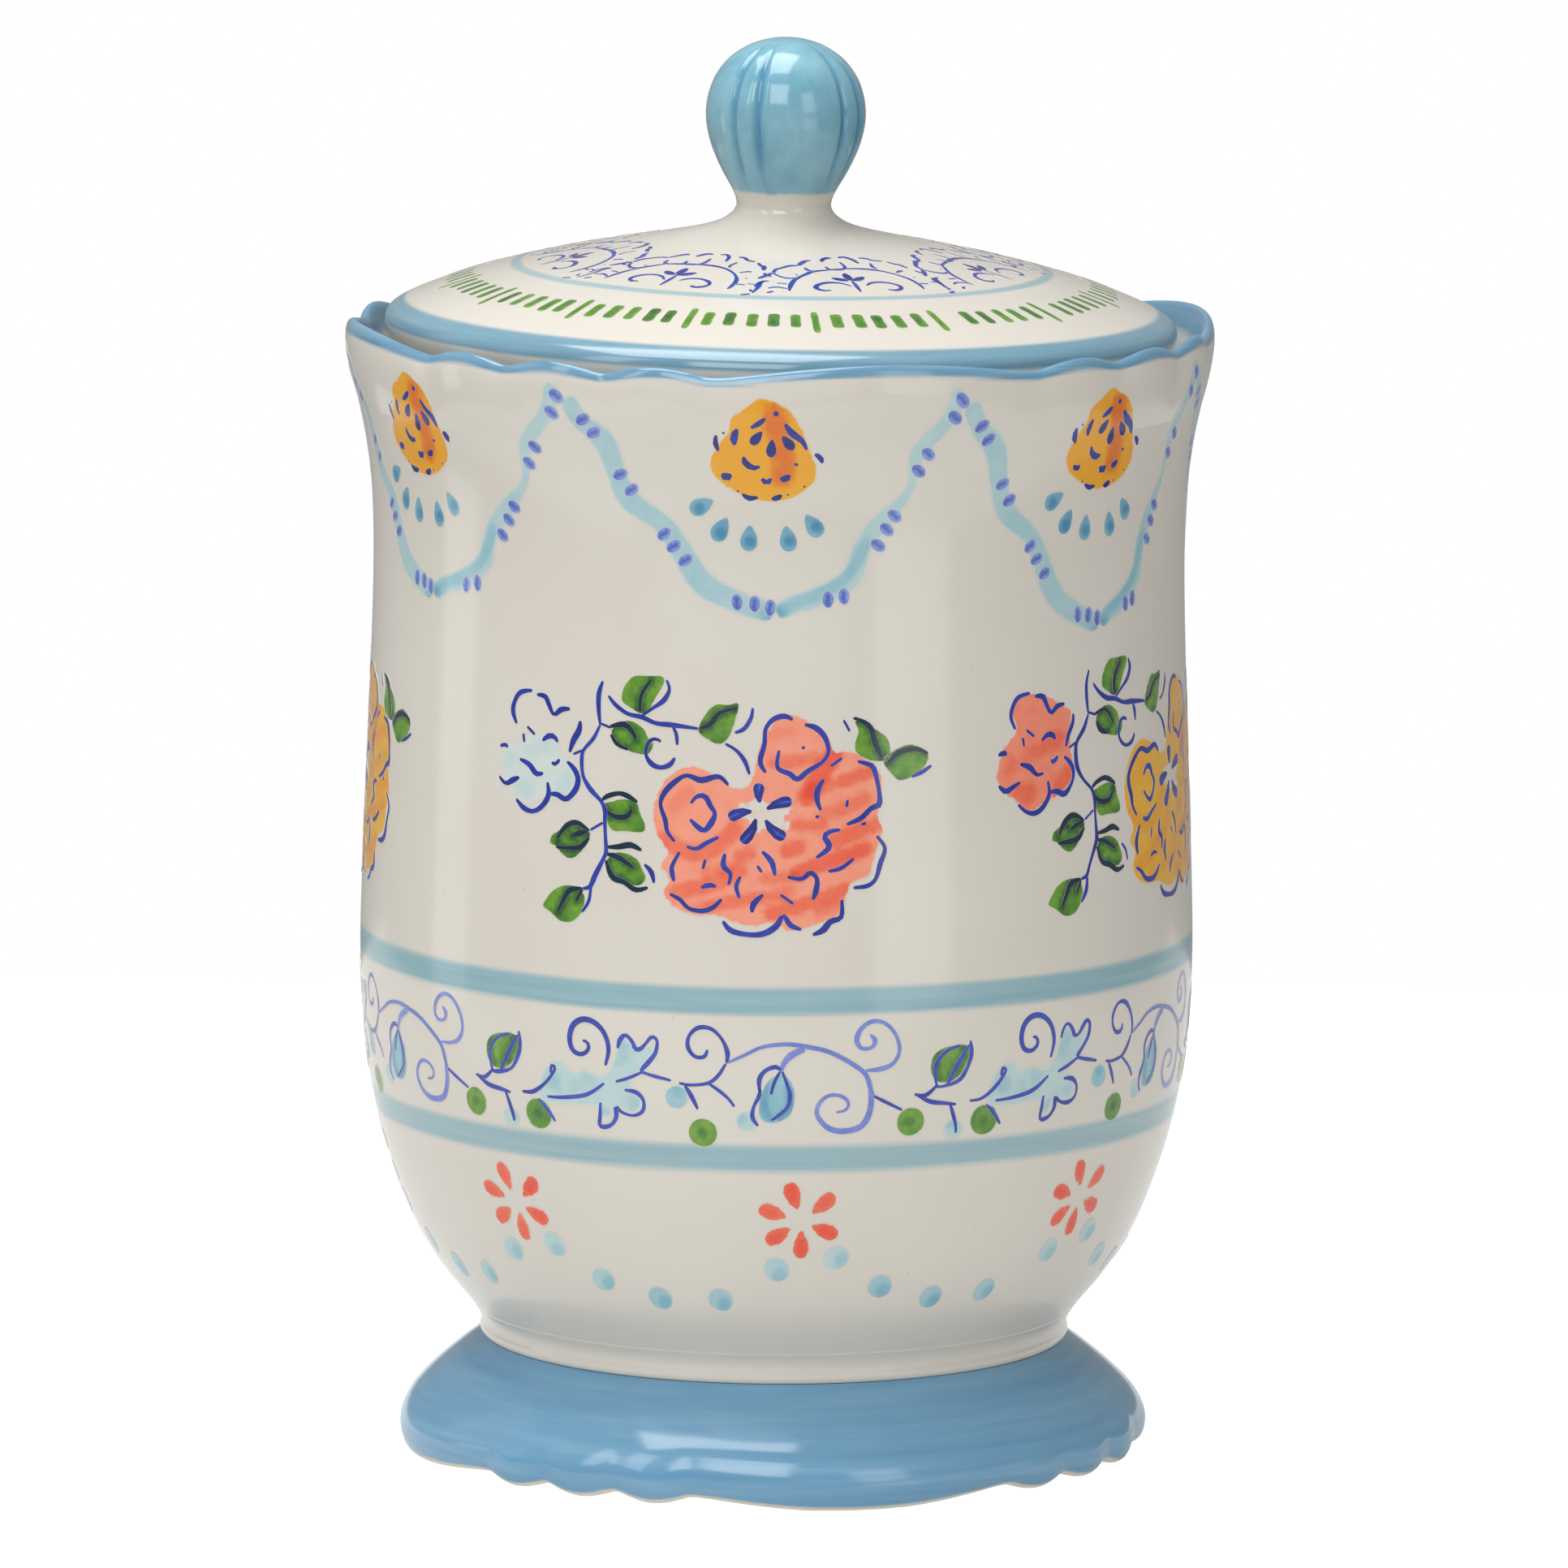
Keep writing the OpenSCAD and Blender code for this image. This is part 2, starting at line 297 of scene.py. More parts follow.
def paintColour(name, look):
    # a stroke's own soft edge fades to the glaze; "tone" and "load" say how much pigment lies there
    material, tree = newMaterial(name)
    where = addNode(tree, "ShaderNodeTexCoord").outputs["Object"]
    mottle = addNode(tree, "ShaderNodeTexNoise", None,
                     {"Vector": where, "Scale": 1 / (look["mottle"] * mm), "Detail": 3.0, "Roughness": 0.6})
    tone = addNode(tree, "ShaderNodeAttribute", {"attribute_name": "tone"}).outputs["Fac"]
    load = addNode(tree, "ShaderNodeAttribute", {"attribute_name": "load"}).outputs["Fac"]
    total = addNode(tree, "ShaderNodeMath", {"operation": "ADD"}, {0: tone, 1: load})
    spread = addNode(tree, "ShaderNodeMath", {"operation": "MULTIPLY_ADD"},
                     {0: mottle.outputs[0], 1: look["vary"], 2: -0.5 * look["vary"]})
    depth = addNode(tree, "ShaderNodeMath", {"operation": "ADD"}, {0: total.outputs[0], 1: spread.outputs[0]})
    pigment = threeTones(tree, depth.outputs[0], look["thin"], look["full"], look["deep"])
    side = addNode(tree, "ShaderNodeAttribute", {"attribute_name": "edge"}).outputs["Fac"]
    hairs = addNode(tree, "ShaderNodeTexNoise", None,
                    {"Vector": where, "Scale": 1 / (hairWidth * mm), "Detail": 2.0})
    frayed = addNode(tree, "ShaderNodeMath", {"operation": "MULTIPLY_ADD"},
                     {0: hairs.outputs[0], 1: look["fray"], 2: -0.5 * look["fray"]})
    margin = addNode(tree, "ShaderNodeMath", {"operation": "ADD"}, {0: side, 1: frayed.outputs[0]})
    cover = addNode(tree, "ShaderNodeMapRange", {"interpolation_type": "SMOOTHSTEP"},
                    {"Value": margin.outputs[0], "From Min": 1 - look["soft"], "From Max": 1.0,
                     "To Min": look["cover"], "To Max": 0.0})
    mixed = addNode(tree, "ShaderNodeMix", {"data_type": "RGBA"},
                    {0: cover.outputs[0], 6: glazeGround(tree), 7: pigment})
    glazeFinish(tree, mixed.outputs[2])
    return material


wateryBlue = {"thin": "#98b7bc", "full": "#7ba6b1", "deep": "#5c92a8"}
jarBands = [
    {"by": "height", "low": 98.0, "high": 103.0, "soft": 0.8, "load": 0.88, **wateryBlue},
    {"by": "height", "low": 67.2, "high": 72.3, "soft": 0.9, "load": 0.8, **wateryBlue},
]
lidBands = [
    {"by": "radius", "low": 50.7, "high": 52.7, "soft": 0.5, "load": 0.7, **wateryBlue},
    {"by": "paint", "low": 500, "high": 1500, "soft": 160, "load": 0.95,
     "thin": "#8cabb5", "full": "#6892a6", "deep": "#457591"},
]
# how long and how wide a brush's streaks are, in mm
blueBrush = {"thin": "#8db2c9", "full": "#6d9cbb", "deep": "#5285a9", "longWay": 60, "shortWay": 3.2}

paints = {
    # cobalt line: a fine brush line under thin clear glaze, nearly violet where it is thin
    "cobalt": {"thin": "#465cc0", "full": "#293a9c", "deep": "#1a236e", "mottle": 2.0, "vary": 0.7,
               "soft": 0.06, "fray": 0.04, "cover": 1.0},
    # the same colour let down with water for the big scrolls
    "violet": {"thin": "#8b9acd", "full": "#5e70c0", "deep": "#3344a0", "mottle": 2.4, "vary": 0.7,
               "soft": 0.2, "fray": 0.15, "cover": 0.95},
    # cobalt over leaf green goes nearly black
    "vein": {"thin": "#254a4c", "full": "#15303f", "deep": "#10203f", "mottle": 2.0, "vary": 0.6,
             "soft": 0.06, "fray": 0.04, "cover": 1.0},
    # watery turquoise blue, pooling where the brush stopped
    "blue": {"thin": "#b1c8c8", "full": "#7aaebd", "deep": "#347da3", "mottle": 4.5, "vary": 0.4,
             "soft": 0.35, "fray": 0.25, "cover": 0.95},
    # the same blue let far down, hardly more than a stain
    "mist": {"thin": "#cad1cb", "full": "#b2c9c9", "deep": "#84aebb", "mottle": 4.5, "vary": 0.4,
             "soft": 0.4, "fray": 0.3, "cover": 0.95},
    # coral, pale where it is thin and brick red where the brush went twice
    "coral": {"thin": "#e99c82", "full": "#e1684a", "deep": "#db371c", "mottle": 3.2, "vary": 0.35,
              "soft": 0.4, "fray": 0.9, "cover": 0.97},
    # warm yellow going to orange in the second coat
    "yellow": {"thin": "#e0ab2c", "full": "#dd9706", "deep": "#d36a00", "mottle": 3.4, "vary": 0.45,
               "soft": 0.35, "fray": 0.5, "cover": 0.98},
    # leaf green, darkest along the veins
    "green": {"thin": "#83a932", "full": "#47801a", "deep": "#174217", "mottle": 2.4, "vary": 0.8,
              "soft": 0.25, "fray": 0.12, "cover": 0.97},
    # periwinkle drops with a dark heart
    "bead": {"thin": "#8ba2d3", "full": "#5873c0", "deep": "#283b92", "mottle": 1.6, "vary": 0.5,
             "soft": 0.3, "fray": 0.2, "cover": 0.95},
}
underglaze = {kind: paintColour("underglaze " + kind + ", brushed", look) for kind, look in paints.items()}
plainGlaze = bandedGlaze("clear glaze on earthenware", [])
wallGlaze = bandedGlaze("clear glaze with brushed blue bands", jarBands)
domeGlaze = bandedGlaze("clear glaze with brushed blue rings", lidBands)
lipBrush = {**blueBrush, "thin": "#8aabbb", "full": "#6690aa", "deep": "#497799", "shortWay": 1.8}
rimGlaze = brushedGlaze("brushed blue lip glaze", lipBrush)
footBrush = {**blueBrush, "bare": "#e8e2d4", "bareDark": "#d8cfbd", "grit": 1.11}     # grit in mm
footGlaze = brushedGlaze("brushed blue foot glaze over bare clay", footBrush)
knobBrush = {"thin": "#9dc2ca", "full": "#79a9b9", "deep": "#4986a3", "longWay": 9, "shortWay": 14}
knobGlaze = brushedGlaze("brushed blue knob glaze", knobBrush)
print("materials:", len(bpy.data.materials))

# turned pieces: jar, rim, foot and lid

# four wide lobes with three small ones between each pair, on the rim and on the foot
lobes = {"Lobe Turn": 13.5, "Lobe Groups": 4.0, "Small Lobes": 3.0, "Small Share": 0.7}
rimWide = 0.5               # a wide lobe's share of its group's span
footWide = 0.58
troughSoft = 0.025          # rounds the notches between the lobes


def smoothLine(points, steps, closed=False):
    p = np.array(points, float)
    n = len(p)
    out = []
    for i in range(n if closed else n - 1):
        a, b, c, d = (p[(i + k) % n] if closed else p[min(max(i + k, 0), n - 1)] for k in (-1, 0, 1, 2))
        for s in range(steps):
            t = s / steps
            out.append(0.5 * (2 * b + (c - a) * t + (2 * a - 5 * b + 4 * c - d) * t ** 2
                              + (3 * b - a - 3 * c + d) * t ** 3))
    if not closed:
        out.append(p[-1])
    return np.array(out)


def newTree(name, sockets):
    tree = bpy.data.node_groups.new(name, "GeometryNodeTree")
    for label, kind, way in sockets:
        tree.interface.new_socket(label, in_out=way, socket_type="NodeSocket" + kind)
    return tree, addNode(tree, "NodeGroupInput"), addNode(tree, "NodeGroupOutput")


lobeSockets = [(label, "Float", "INPUT") for label in (*lobes, "Wide Share")]


def lobeRule():
    # how high the scallop stands at an angle: near 0 in a trough, 1 on the crest of a wide lobe
    tree, given, result = newTree("lobe height", [("Angle", "Float", "INPUT"), *lobeSockets,
                                                  ("Height", "Float", "OUTPUT")])
    steps = {"group": ("DIVIDE", 360.0, "Lobe Groups"),
             "wideSpan": ("MULTIPLY", "group", "Wide Share"),
             "rest": ("SUBTRACT", "group", "wideSpan"),
             "smallSpan": ("DIVIDE", "rest", "Small Lobes"),
             "turned": ("SUBTRACT", "Angle", "Lobe Turn"),
             "halfWide": ("DIVIDE", "wideSpan", 2.0),
             "begun": ("ADD", "turned", "halfWide"),
             "along": ("FLOORED_MODULO", "begun", "group"),
             "overWide": ("DIVIDE", "along", "wideSpan"),
             "wideTurn": ("MULTIPLY", "overWide", math.pi),
             "wide": ("SINE", "wideTurn", 0.0),
             "past": ("SUBTRACT", "along", "wideSpan"),
             "overSmall": ("DIVIDE", "past", "smallSpan"),
             "part": ("FRACT", "overSmall", 0.0),
             "partTurn": ("MULTIPLY", "part", math.pi),
             "bump": ("SINE", "partTurn", 0.0),
             "small": ("MULTIPLY", "bump", "Small Share"),
             "isWide": ("LESS_THAN", "along", "wideSpan"),
             "gain": ("SUBTRACT", "wide", "small"),
             "taken": ("MULTIPLY", "isWide", "gain"),
             "sharp": ("ADD", "small", "taken"),
             "square": ("MULTIPLY", "sharp", "sharp"),
             "lifted": ("ADD", "square", troughSoft),
             "root": ("SQRT", "lifted", 0.0),
             "soft": ("SUBTRACT", "root", troughSoft / 2)}
    found = {label: given.outputs[label] for label in ("Angle", *(row[0] for row in lobeSockets))}
    for label, (operation, a, b) in steps.items():
        found[label] = addNode(tree, "ShaderNodeMath", {"operation": operation},
                               {0: found.get(a, a), 1: found.get(b, b)}).outputs[0]
    tree.links.new(found["soft"], result.inputs["Height"])
    return tree


lobeHeight = lobeRule()


def lobeAt(tree, given, angle):
    node = addNode(tree, "GeometryNodeGroup", {"node_tree": lobeHeight}, {"Angle": angle})
    for label, _, _ in lobeSockets:
        tree.links.new(given.outputs[label], node.inputs[label])
    return node.outputs["Height"]


def finishTree(tree, given, result, shape):
    solid = addNode(tree, "GeometryNodeRealizeInstances", None, {0: shape})
    dressed = addNode(tree, "GeometryNodeSetMaterial", None,
                      {0: solid.outputs[0], "Material": given.outputs["Finish"]})
    tree.links.new(dressed.outputs[0], result.inputs[0])


def scallopTree():
    # pushes a turned ring out and up by its own "wave" attribute times the lobe height
    sockets = [("Geometry", "Geometry", "INPUT"), *lobeSockets, ("Finish", "Material", "INPUT"),
               ("Geometry", "Geometry", "OUTPUT")]
    tree, given, result = newTree("scallop", sockets)
    here = addNode(tree, "GeometryNodeInputPosition").outputs[0]
    xyz = addNode(tree, "ShaderNodeSeparateXYZ", None, {0: here})
    front = addNode(tree, "ShaderNodeMath", {"operation": "MULTIPLY"}, {0: xyz.outputs[1], 1: -1.0})
    angle = addNode(tree, "ShaderNodeMath", {"operation": "ARCTAN2"},
                    {0: xyz.outputs[0], 1: front.outputs[0]})
    degrees = addNode(tree, "ShaderNodeMath", {"operation": "DEGREES"}, {0: angle.outputs[0]})
    height = lobeAt(tree, given, degrees.outputs[0])
    wave = addNode(tree, "GeometryNodeInputNamedAttribute", {"data_type": "FLOAT_VECTOR"}, {"Name": "wave"})
    moved = addNode(tree, "ShaderNodeVectorMath", {"operation": "SCALE"},
                    {0: wave.outputs[0], "Scale": height})
    parts = addNode(tree, "ShaderNodeSeparateXYZ", None, {0: moved.outputs[0]})
    outX = addNode(tree, "ShaderNodeMath", {"operation": "SINE"}, {0: angle.outputs[0]})
    outY = addNode(tree, "ShaderNodeMath", {"operation": "COSINE"}, {0: angle.outputs[0]})
    pushX = addNode(tree, "ShaderNodeMath", {"operation": "MULTIPLY"},
                    {0: outX.outputs[0], 1: parts.outputs[0]})
    pushY = addNode(tree, "ShaderNodeMath", {"operation": "MULTIPLY"},
                    {0: outY.outputs[0], 1: parts.outputs[0]})
    backY = addNode(tree, "ShaderNodeMath", {"operation": "MULTIPLY"}, {0: pushY.outputs[0], 1: -1.0})
    offset = addNode(tree, "ShaderNodeCombineXYZ", None,
                     {0: pushX.outputs[0], 1: backY.outputs[0], 2: parts.outputs[1]})
    shape = addNode(tree, "GeometryNodeSetPosition", None, {0: given.outputs[0], "Offset": offset.outputs[0]})
    finishTree(tree, given, result, shape.outputs[0])
    return tree


def runTree(piece, tree, inputs):
    modifier = piece.modifiers.new(tree.name, "NODES")
    modifier.node_group = tree
    for item in tree.interface.items_tree:
        if item.in_out == "INPUT" and item.name in inputs:
            modifier[item.identifier] = inputs[item.name]
    bpy.context.view_layer.update()
    plain = bpy.data.meshes.new_from_object(piece.evaluated_get(bpy.context.evaluated_depsgraph_get()))
    piece.modifiers.remove(modifier)
    spare = piece.data
    piece.data = plain
    bpy.data.meshes.remove(spare)
    plain.name = piece.name


def pointAttribute(mesh, name, values, kind="FLOAT"):
    layer = mesh.attributes.new(name, kind, "POINT")
    layer.data.foreach_set("vector" if kind == "FLOAT_VECTOR" else "value", np.array(values, float).ravel())


def turnedPiece(name, section, around, closed=True, shape=None):
    # section rows are [radius, height, push, lift, paint] in mm, going round the cut wall
    rows, verts, wave, paint, radius, height = [], [], [], [], [], []
    angles = np.linspace(0, 2 * math.pi, around, endpoint=False)
    for r, z, push, lift, cover in section:
        ring = angles[:1] if r < 0.001 else angles
        rows.append(range(len(verts), len(verts) + len(ring)))
        for a in ring:
            rr = r if shape is None else shape(r, z, a)
            verts.append((rr * math.sin(a) * mm, -rr * math.cos(a) * mm, z * mm))
            wave.append((push * mm, lift * mm, 0))
            paint.append(cover)
            radius.append(r * mm)
            height.append(z * mm)
    faces = []
    for j in range(len(rows) if closed else len(rows) - 1):
        a, b = rows[j], rows[(j + 1) % len(rows)]
        for i in range(around):
            k = (i + 1) % around
            if len(a) == 1 and len(b) == 1:
                continue
            if len(a) == 1:
                faces.append((a[0], b[k], b[i]))
            elif len(b) == 1:
                faces.append((a[i], a[k], b[0]))
            else:
                faces.append((a[i], a[k], b[k], b[i]))
    if boundsVolume(verts, faces) < 0:
        faces = [f[::-1] for f in faces]
    mesh = bpy.data.meshes.new(name)
    mesh.from_pydata(verts, [], faces)
    mesh.polygons.foreach_set("use_smooth", [True] * len(faces))
    pointAttribute(mesh, "wave", wave, "FLOAT_VECTOR")
    pointAttribute(mesh, "paint", paint)
    pointAttribute(mesh, "radius", radius)
    pointAttribute(mesh, "height", height)
    piece = bpy.data.objects.new(name, mesh)
    scene.collection.objects.link(piece)
    return piece


def boundsVolume(verts, faces):
    total = 0.0
    for face in faces:
        for i in range(1, len(face) - 1):
            total += Vector(verts[face[0]]).dot(Vector(verts[face[i]]).cross(Vector(verts[face[i + 1]])))
    return total


def plainRows(points):
    return [[r, z, 0, 0, 0] for r, z in points]


jar = {
    # radius and height in mm
    "outside": [(56.2, 24.4), (60.4, 30), (65.3, 36), (70, 43.5), (74, 53), (77.7, 65), (80.2, 79),
                (81.2, 96), (80.9, 114), (79.8, 142), (78.9, 170), (79.1, 187), (80.3, 198),
                (81.9, 206)],
    "inside": [(46, 30), (54, 31.6), (60.6, 38), (65.3, 47), (69.7, 58), (73.2, 70), (75.8, 83),
               (76.2, 96), (75.9, 114), (74.8, 142), (73.9, 170), (73.7, 188), (73.5, 206)],
    "around": 360,
    "steps": 4,
}
rim = {
    # radius, height, push, lift, paint
    "section": [(81.9, 206, 0, 0, 0), (82.6, 209, 0.3, 0, 0), (83.1, 212, 0.75, 0.3, 0),
                (83.4, 215, 1.18, 1.05, 0), (83.4, 217.3, 1.37, 1.95, 0.3), (82.9, 218.7, 1.48, 2.7, 1),
                (82, 219.2, 1.48, 3, 1), (81.1, 218.7, 1.48, 2.7, 1), (80.3, 216.8, 1.2, 1.8, 0.75),
                (79.5, 214, 0.68, 0.75, 0.3), (78.4, 210, 0.15, 0, 0), (77.4, 206, 0, 0, 0)],
    "around": 720,
    "steps": 4,
}
foot = {
    "section": [(57.1, 21.9, 0, 0, 1), (61.6, 18.6, 0, 0, 1), (66.6, 14.4, 0.15, 0, 1),
                (70.4, 10.4, 0.6, -0.25, 1), (71.9, 7.2, 1.2, -0.76, 1), (72, 5, 1.48, -1.4, 0.95),
                (71.4, 3.3, 1.48, -2.17, 0.65), (70.3, 2.5, 1.48, -2.55, 0.05),
                (68.9, 2.3, 1.48, -2.55, 0), (67.7, 2.8, 1.43, -2.29, 0), (66.6, 5, 1.05, -1.53, 0),
                (65.2, 8, 0.45, -0.51, 0), (61.6, 11.4, 0, 0, 0), (57, 15, 0, 0, 0),
                (52.4, 18.4, 0, 0, 0), (49.5, 21.9, 0, 0, 0)],
    "around": 720,
    "steps": 3,
}
rings = {
    "ledge": [(69.5, 206), (77.1, 206), (77.1, 214), (70.5, 214), (70.1, 213.9), (69.8, 213.7),
              (69.6, 213.4), (69.5, 213)],
    # the bead over the foot, and the hollow curve from it up to the belly
    "cove": [(56.4, 21.8), (57.2, 22.1), (57.55, 22.8), (57.6, 23.5), (57.45, 24.3), (57.45, 25),
             (57.75, 26), (58.25, 27), (58.95, 28), (59.1, 28.6)],
    "flange": [(63.5, 207.3), (64.0, 206.7), (64.7, 206.5), (66.1, 206.5), (66.8, 206.7), (67.3, 207.3),
               (67.3, 220), (63.5, 220)],
    "around": 360,
}
lid = {
    "edgeHeight": 215.5,
    "lean": 0.9,                # degrees, it sits a little askew on its ledge
    # radius and height above the edge height
    "outside": [(73.8, 0), (76, 1.4), (76.9, 4), (76.4, 6.2), (74.5, 7.8), (70, 9.9), (62, 12.9),
                (52, 15.8), (40, 18.5), (28, 20.9), (18, 23), (12.6, 24.7), (9.9, 26.5)],
    "hollow": [(63, 4.5), (61.5, 8), (50, 11.6), (38, 14.2), (24, 16.5), (10, 17.9), (0, 18.1)],
    "around": 360,
    "steps": 6,
}
knob = {
    "start": 242,               # height at which its neck leaves the lid
    "side": [(9.9, 0), (9.2, 1.4), (9.4, 3), (10.2, 4.8), (12, 7.9), (13.6, 11.2), (14.7, 14.2),
             (15.4, 17.6), (15.45, 20.6), (14.9, 23.6), (13.6, 26.8), (11, 30.1), (7.2, 32.6),
             (3.5, 33.8), (0, 34.2)],
    "ribHalf": 10.5,            # degrees from a rib's middle to the groove beside it
    "grooveDepth": 0.8,         # mm
    "grooveWidth": 3.6,         # degrees
    "around": 360,
    "steps": 6,
}


def hidesNode(piece, body, node):
    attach(piece, body)
    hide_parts(node)


def crease(piece, angle=32):
    piece.data.set_sharp_from_angle(angle=math.radians(angle))


def leanLid(piece):
    pivot = Matrix.Translation((0, 0, lid["edgeHeight"] * mm))
    tilt = Matrix.Rotation(math.radians(lid["lean"]), 4, "Y")
    piece.data.transform(pivot @ tilt @ pivot.inverted())


scallop = scallopTree()


def makeWall():
    outside = smoothLine(jar["outside"], jar["steps"])
    inside = smoothLine(jar["inside"], jar["steps"])[::-1]
    wallRows = [[0, 24.4, 0, 0, 0], *plainRows(outside), *plainRows(inside), [0, 30, 0, 0, 0]]
    wall = turnedPiece("jar_body", wallRows, jar["around"], closed=False)
    wall.data.materials.append(wallGlaze)
    crease(wall)
    hidesNode(wall, "jar", "jar_wall")


def plainRing(name, points, body, node):
    piece = turnedPiece(name, plainRows(points), rings["around"])
    piece.data.materials.append(plainGlaze)
    crease(piece)
    if body == "lid":
        leanLid(piece)
    hidesNode(piece, body, node)


def makeScalloped(name, look, wide, finish, node):
    piece = turnedPiece(name, smoothLine(look["section"], look["steps"]), look["around"])
    runTree(piece, scallop, {**lobes, "Wide Share": wide, "Finish": finish})
    for vertex in piece.data.vertices:
        vertex.co.z = max(vertex.co.z, 0)      # the hem is ground flat where the jar stands
    crease(piece)
    hidesNode(piece, "jar", node)


def makeRings():
    plainRing("lid_ledge_ring", rings["ledge"], "jar", "lid_ledge")
    cove = smoothLine(rings["cove"], 5)
    plainRing("foot_ring", [(49.5, 21.9), *cove, (56, 27), (49.5, 24.4)], "jar", "foot_bead")


def makeLid():
    base = lid["edgeHeight"]
    edge = {3: 1, 2: 0.35, 4: 0.8}            # blue on the rounded edge
    rows = [[r, base + z, 0, 0, edge.get(i, 0)] for i, (r, z) in enumerate(lid["outside"])]
    outside = smoothLine(rows, lid["steps"])
    hollow = smoothLine([[r, base + z, 0, 0, 0] for r, z in lid["hollow"]], lid["steps"])[::-1]
    around = [[0, base + 26.5, 0, 0, 0], *outside[::-1], [69.2, base, 0, 0, 0], [67.6, base + 4.5, 0, 0, 0],
              *hollow[::-1]]
    dome = turnedPiece("lid_disc", around, lid["around"], closed=False)
    dome.data.materials.append(domeGlaze)
    crease(dome, 40)
    leanLid(dome)
    hidesNode(dome, "lid", "lid_dome")
    plainRing("lid_ring", rings["flange"], "lid", "lid_flange")


def grooveAt(height, angle):
    fade = math.sin(math.pi * min(max((height - 5) / 29, 0), 1)) ** 0.6
    fromRib = (math.degrees(angle) - lobes["Lobe Turn"] - 45) % 90
    fromRib = min(fromRib, 90 - fromRib)
    return fade * math.exp(-((fromRib - knob["ribHalf"]) / knob["grooveWidth"]) ** 2)


def makeKnob():
    start = knob["start"]
    side = smoothLine(knob["side"], knob["steps"])
    rows = [[r, start + z, 0, 0, min(max((z - 3.4) / 2.4, 0), 1)] for r, z in side]

    def fluted(r, z, angle):
        return r - knob["grooveDepth"] * grooveAt(z - start, angle)

    rows.insert(0, [0, start, 0, 0, 0])
    piece = turnedPiece("fluted_knob", rows, knob["around"], closed=False, shape=fluted)
    # painted shade: the blue is darkened down each groove of the knob
    pool = []
    for vertex in piece.data.vertices:
        angle = math.atan2(vertex.co.x, -vertex.co.y)
        pool.append(0.45 * grooveAt(vertex.co.z / mm - start, angle))
    pointAttribute(piece.data, "pool", pool)
    piece.data.materials.append(knobGlaze)
    crease(piece, 45)
    leanLid(piece)
    hidesNode(piece, "lid", "lid_knob")


makeWall()
makeScalloped("scalloped_rim", rim, rimWide, rimGlaze, "jar_rim")
makeScalloped("scalloped_foot", foot, footWide, footGlaze, "foot_skirt")
makeRings()
makeLid()
makeKnob()
print("turned pieces made")

# brushwork: flat strokes in mm (round the pot, up), wrapped on the glaze afterwards

brush = {
    "wrapRadius": 80.0,     # mm, the radius at which a stroke keeps its drawn width
    "under": -0.25,         # mm, the stroke's underside lies inside the glaze
    "over": 0.05,           # mm, and its face just proud of it, a little more for each layer
    "layer": 0.03,
    "grain": 1.2,           # mm between the points of a wash
    "seed": 7,
}
shake = random.Random(brush["seed"])


def newPile():
    return {"verts": [], "faces": [], "tone": [], "edge": []}


def addSlab(pile, points, faces, edge, tone, layer):
    # a closed thin slab: face, underside and the wall between them
    count, base = len(points), len(pile["verts"])
    top = brush["over"] + brush["layer"] * layer
    pile["verts"] += [(x * mm, y * mm, top * mm) for x, y in points]
    pile["verts"] += [(x * mm, y * mm, brush["under"] * mm) for x, y in points]
    pile["edge"] += list(edge) * 2
    pile["tone"] += list(tone) * 2
    turned = []
    for face in faces:
        area = sum(points[a][0] * points[b][1] - points[b][0] * points[a][1]
                   for a, b in zip(face, face[1:] + face[:1]))
        turned.append(face if area > 0 else face[::-1])
    used = {(a, b) for face in turned for a, b in zip(face, face[1:] + face[:1])}
    for face in turned:
        pile["faces"].append([base + i for i in face])
        pile["faces"].append([base + count + i for i in face[::-1]])
    for a, b in used:
        if (b, a) not in used:
            pile["faces"].append([base + b, base + a, base + count + a, base + count + b])


def nearest(points, line):
    # distance from each point to a polyline
    p, a, b = points[:, None, :], line[None, :-1, :], line[None, 1:, :]
    run = b - a
    t = np.clip(((p - a) * run).sum(2) / np.maximum((run ** 2).sum(2), 1e-9), 0, 1)
    return np.sqrt((((a + t[..., None] * run) - p) ** 2).sum(2)).min(1)


def insideOf(points, ring):
    x, y = points[:, 0][:, None], points[:, 1][:, None]
    x1, y1 = ring[:, 0][None], ring[:, 1][None]
    x2, y2 = np.roll(ring, -1, 0)[:, 0][None], np.roll(ring, -1, 0)[:, 1][None]
    crosses = ((y1 > y) != (y2 > y)) & (x < (x2 - x1) * (y - y1) / np.where(y2 == y1, 1e-9, y2 - y1) + x1)
    return crosses.sum(1) % 2 == 1


def evenly(line, gap, closed=False):
    if closed:
        line = np.vstack([line, line[:1]])
    steps = np.sqrt((np.diff(line[:, :2], axis=0) ** 2).sum(1))
    along = np.concatenate([[0], np.cumsum(steps)])
    count = max(3, int(round(along[-1] / gap)))
    marks = np.linspace(0, along[-1], count + 1)
    if closed:
        marks = marks[:-1]
    return np.stack([np.interp(marks, along, line[:, k]) for k in range(line.shape[1])], 1)


def toneAt(points, base, dabs):
    # second coats: each is a path, its width and how much darker it goes
    tone = np.full(len(points), float(base))
    for path, width, more in dabs:
        path = np.array(path, float)
        if len(path) == 1:
            path = np.vstack([path, path + 0.01])
        elif len(path) > 2:
            path = smoothLine(path, 4)
        reach = np.clip(nearest(points, path) / (width / 2), 0, 2)
        tone += more * np.clip((1.3 - reach) / 0.55, 0, 1)
    return np.clip(tone, 0, 1)


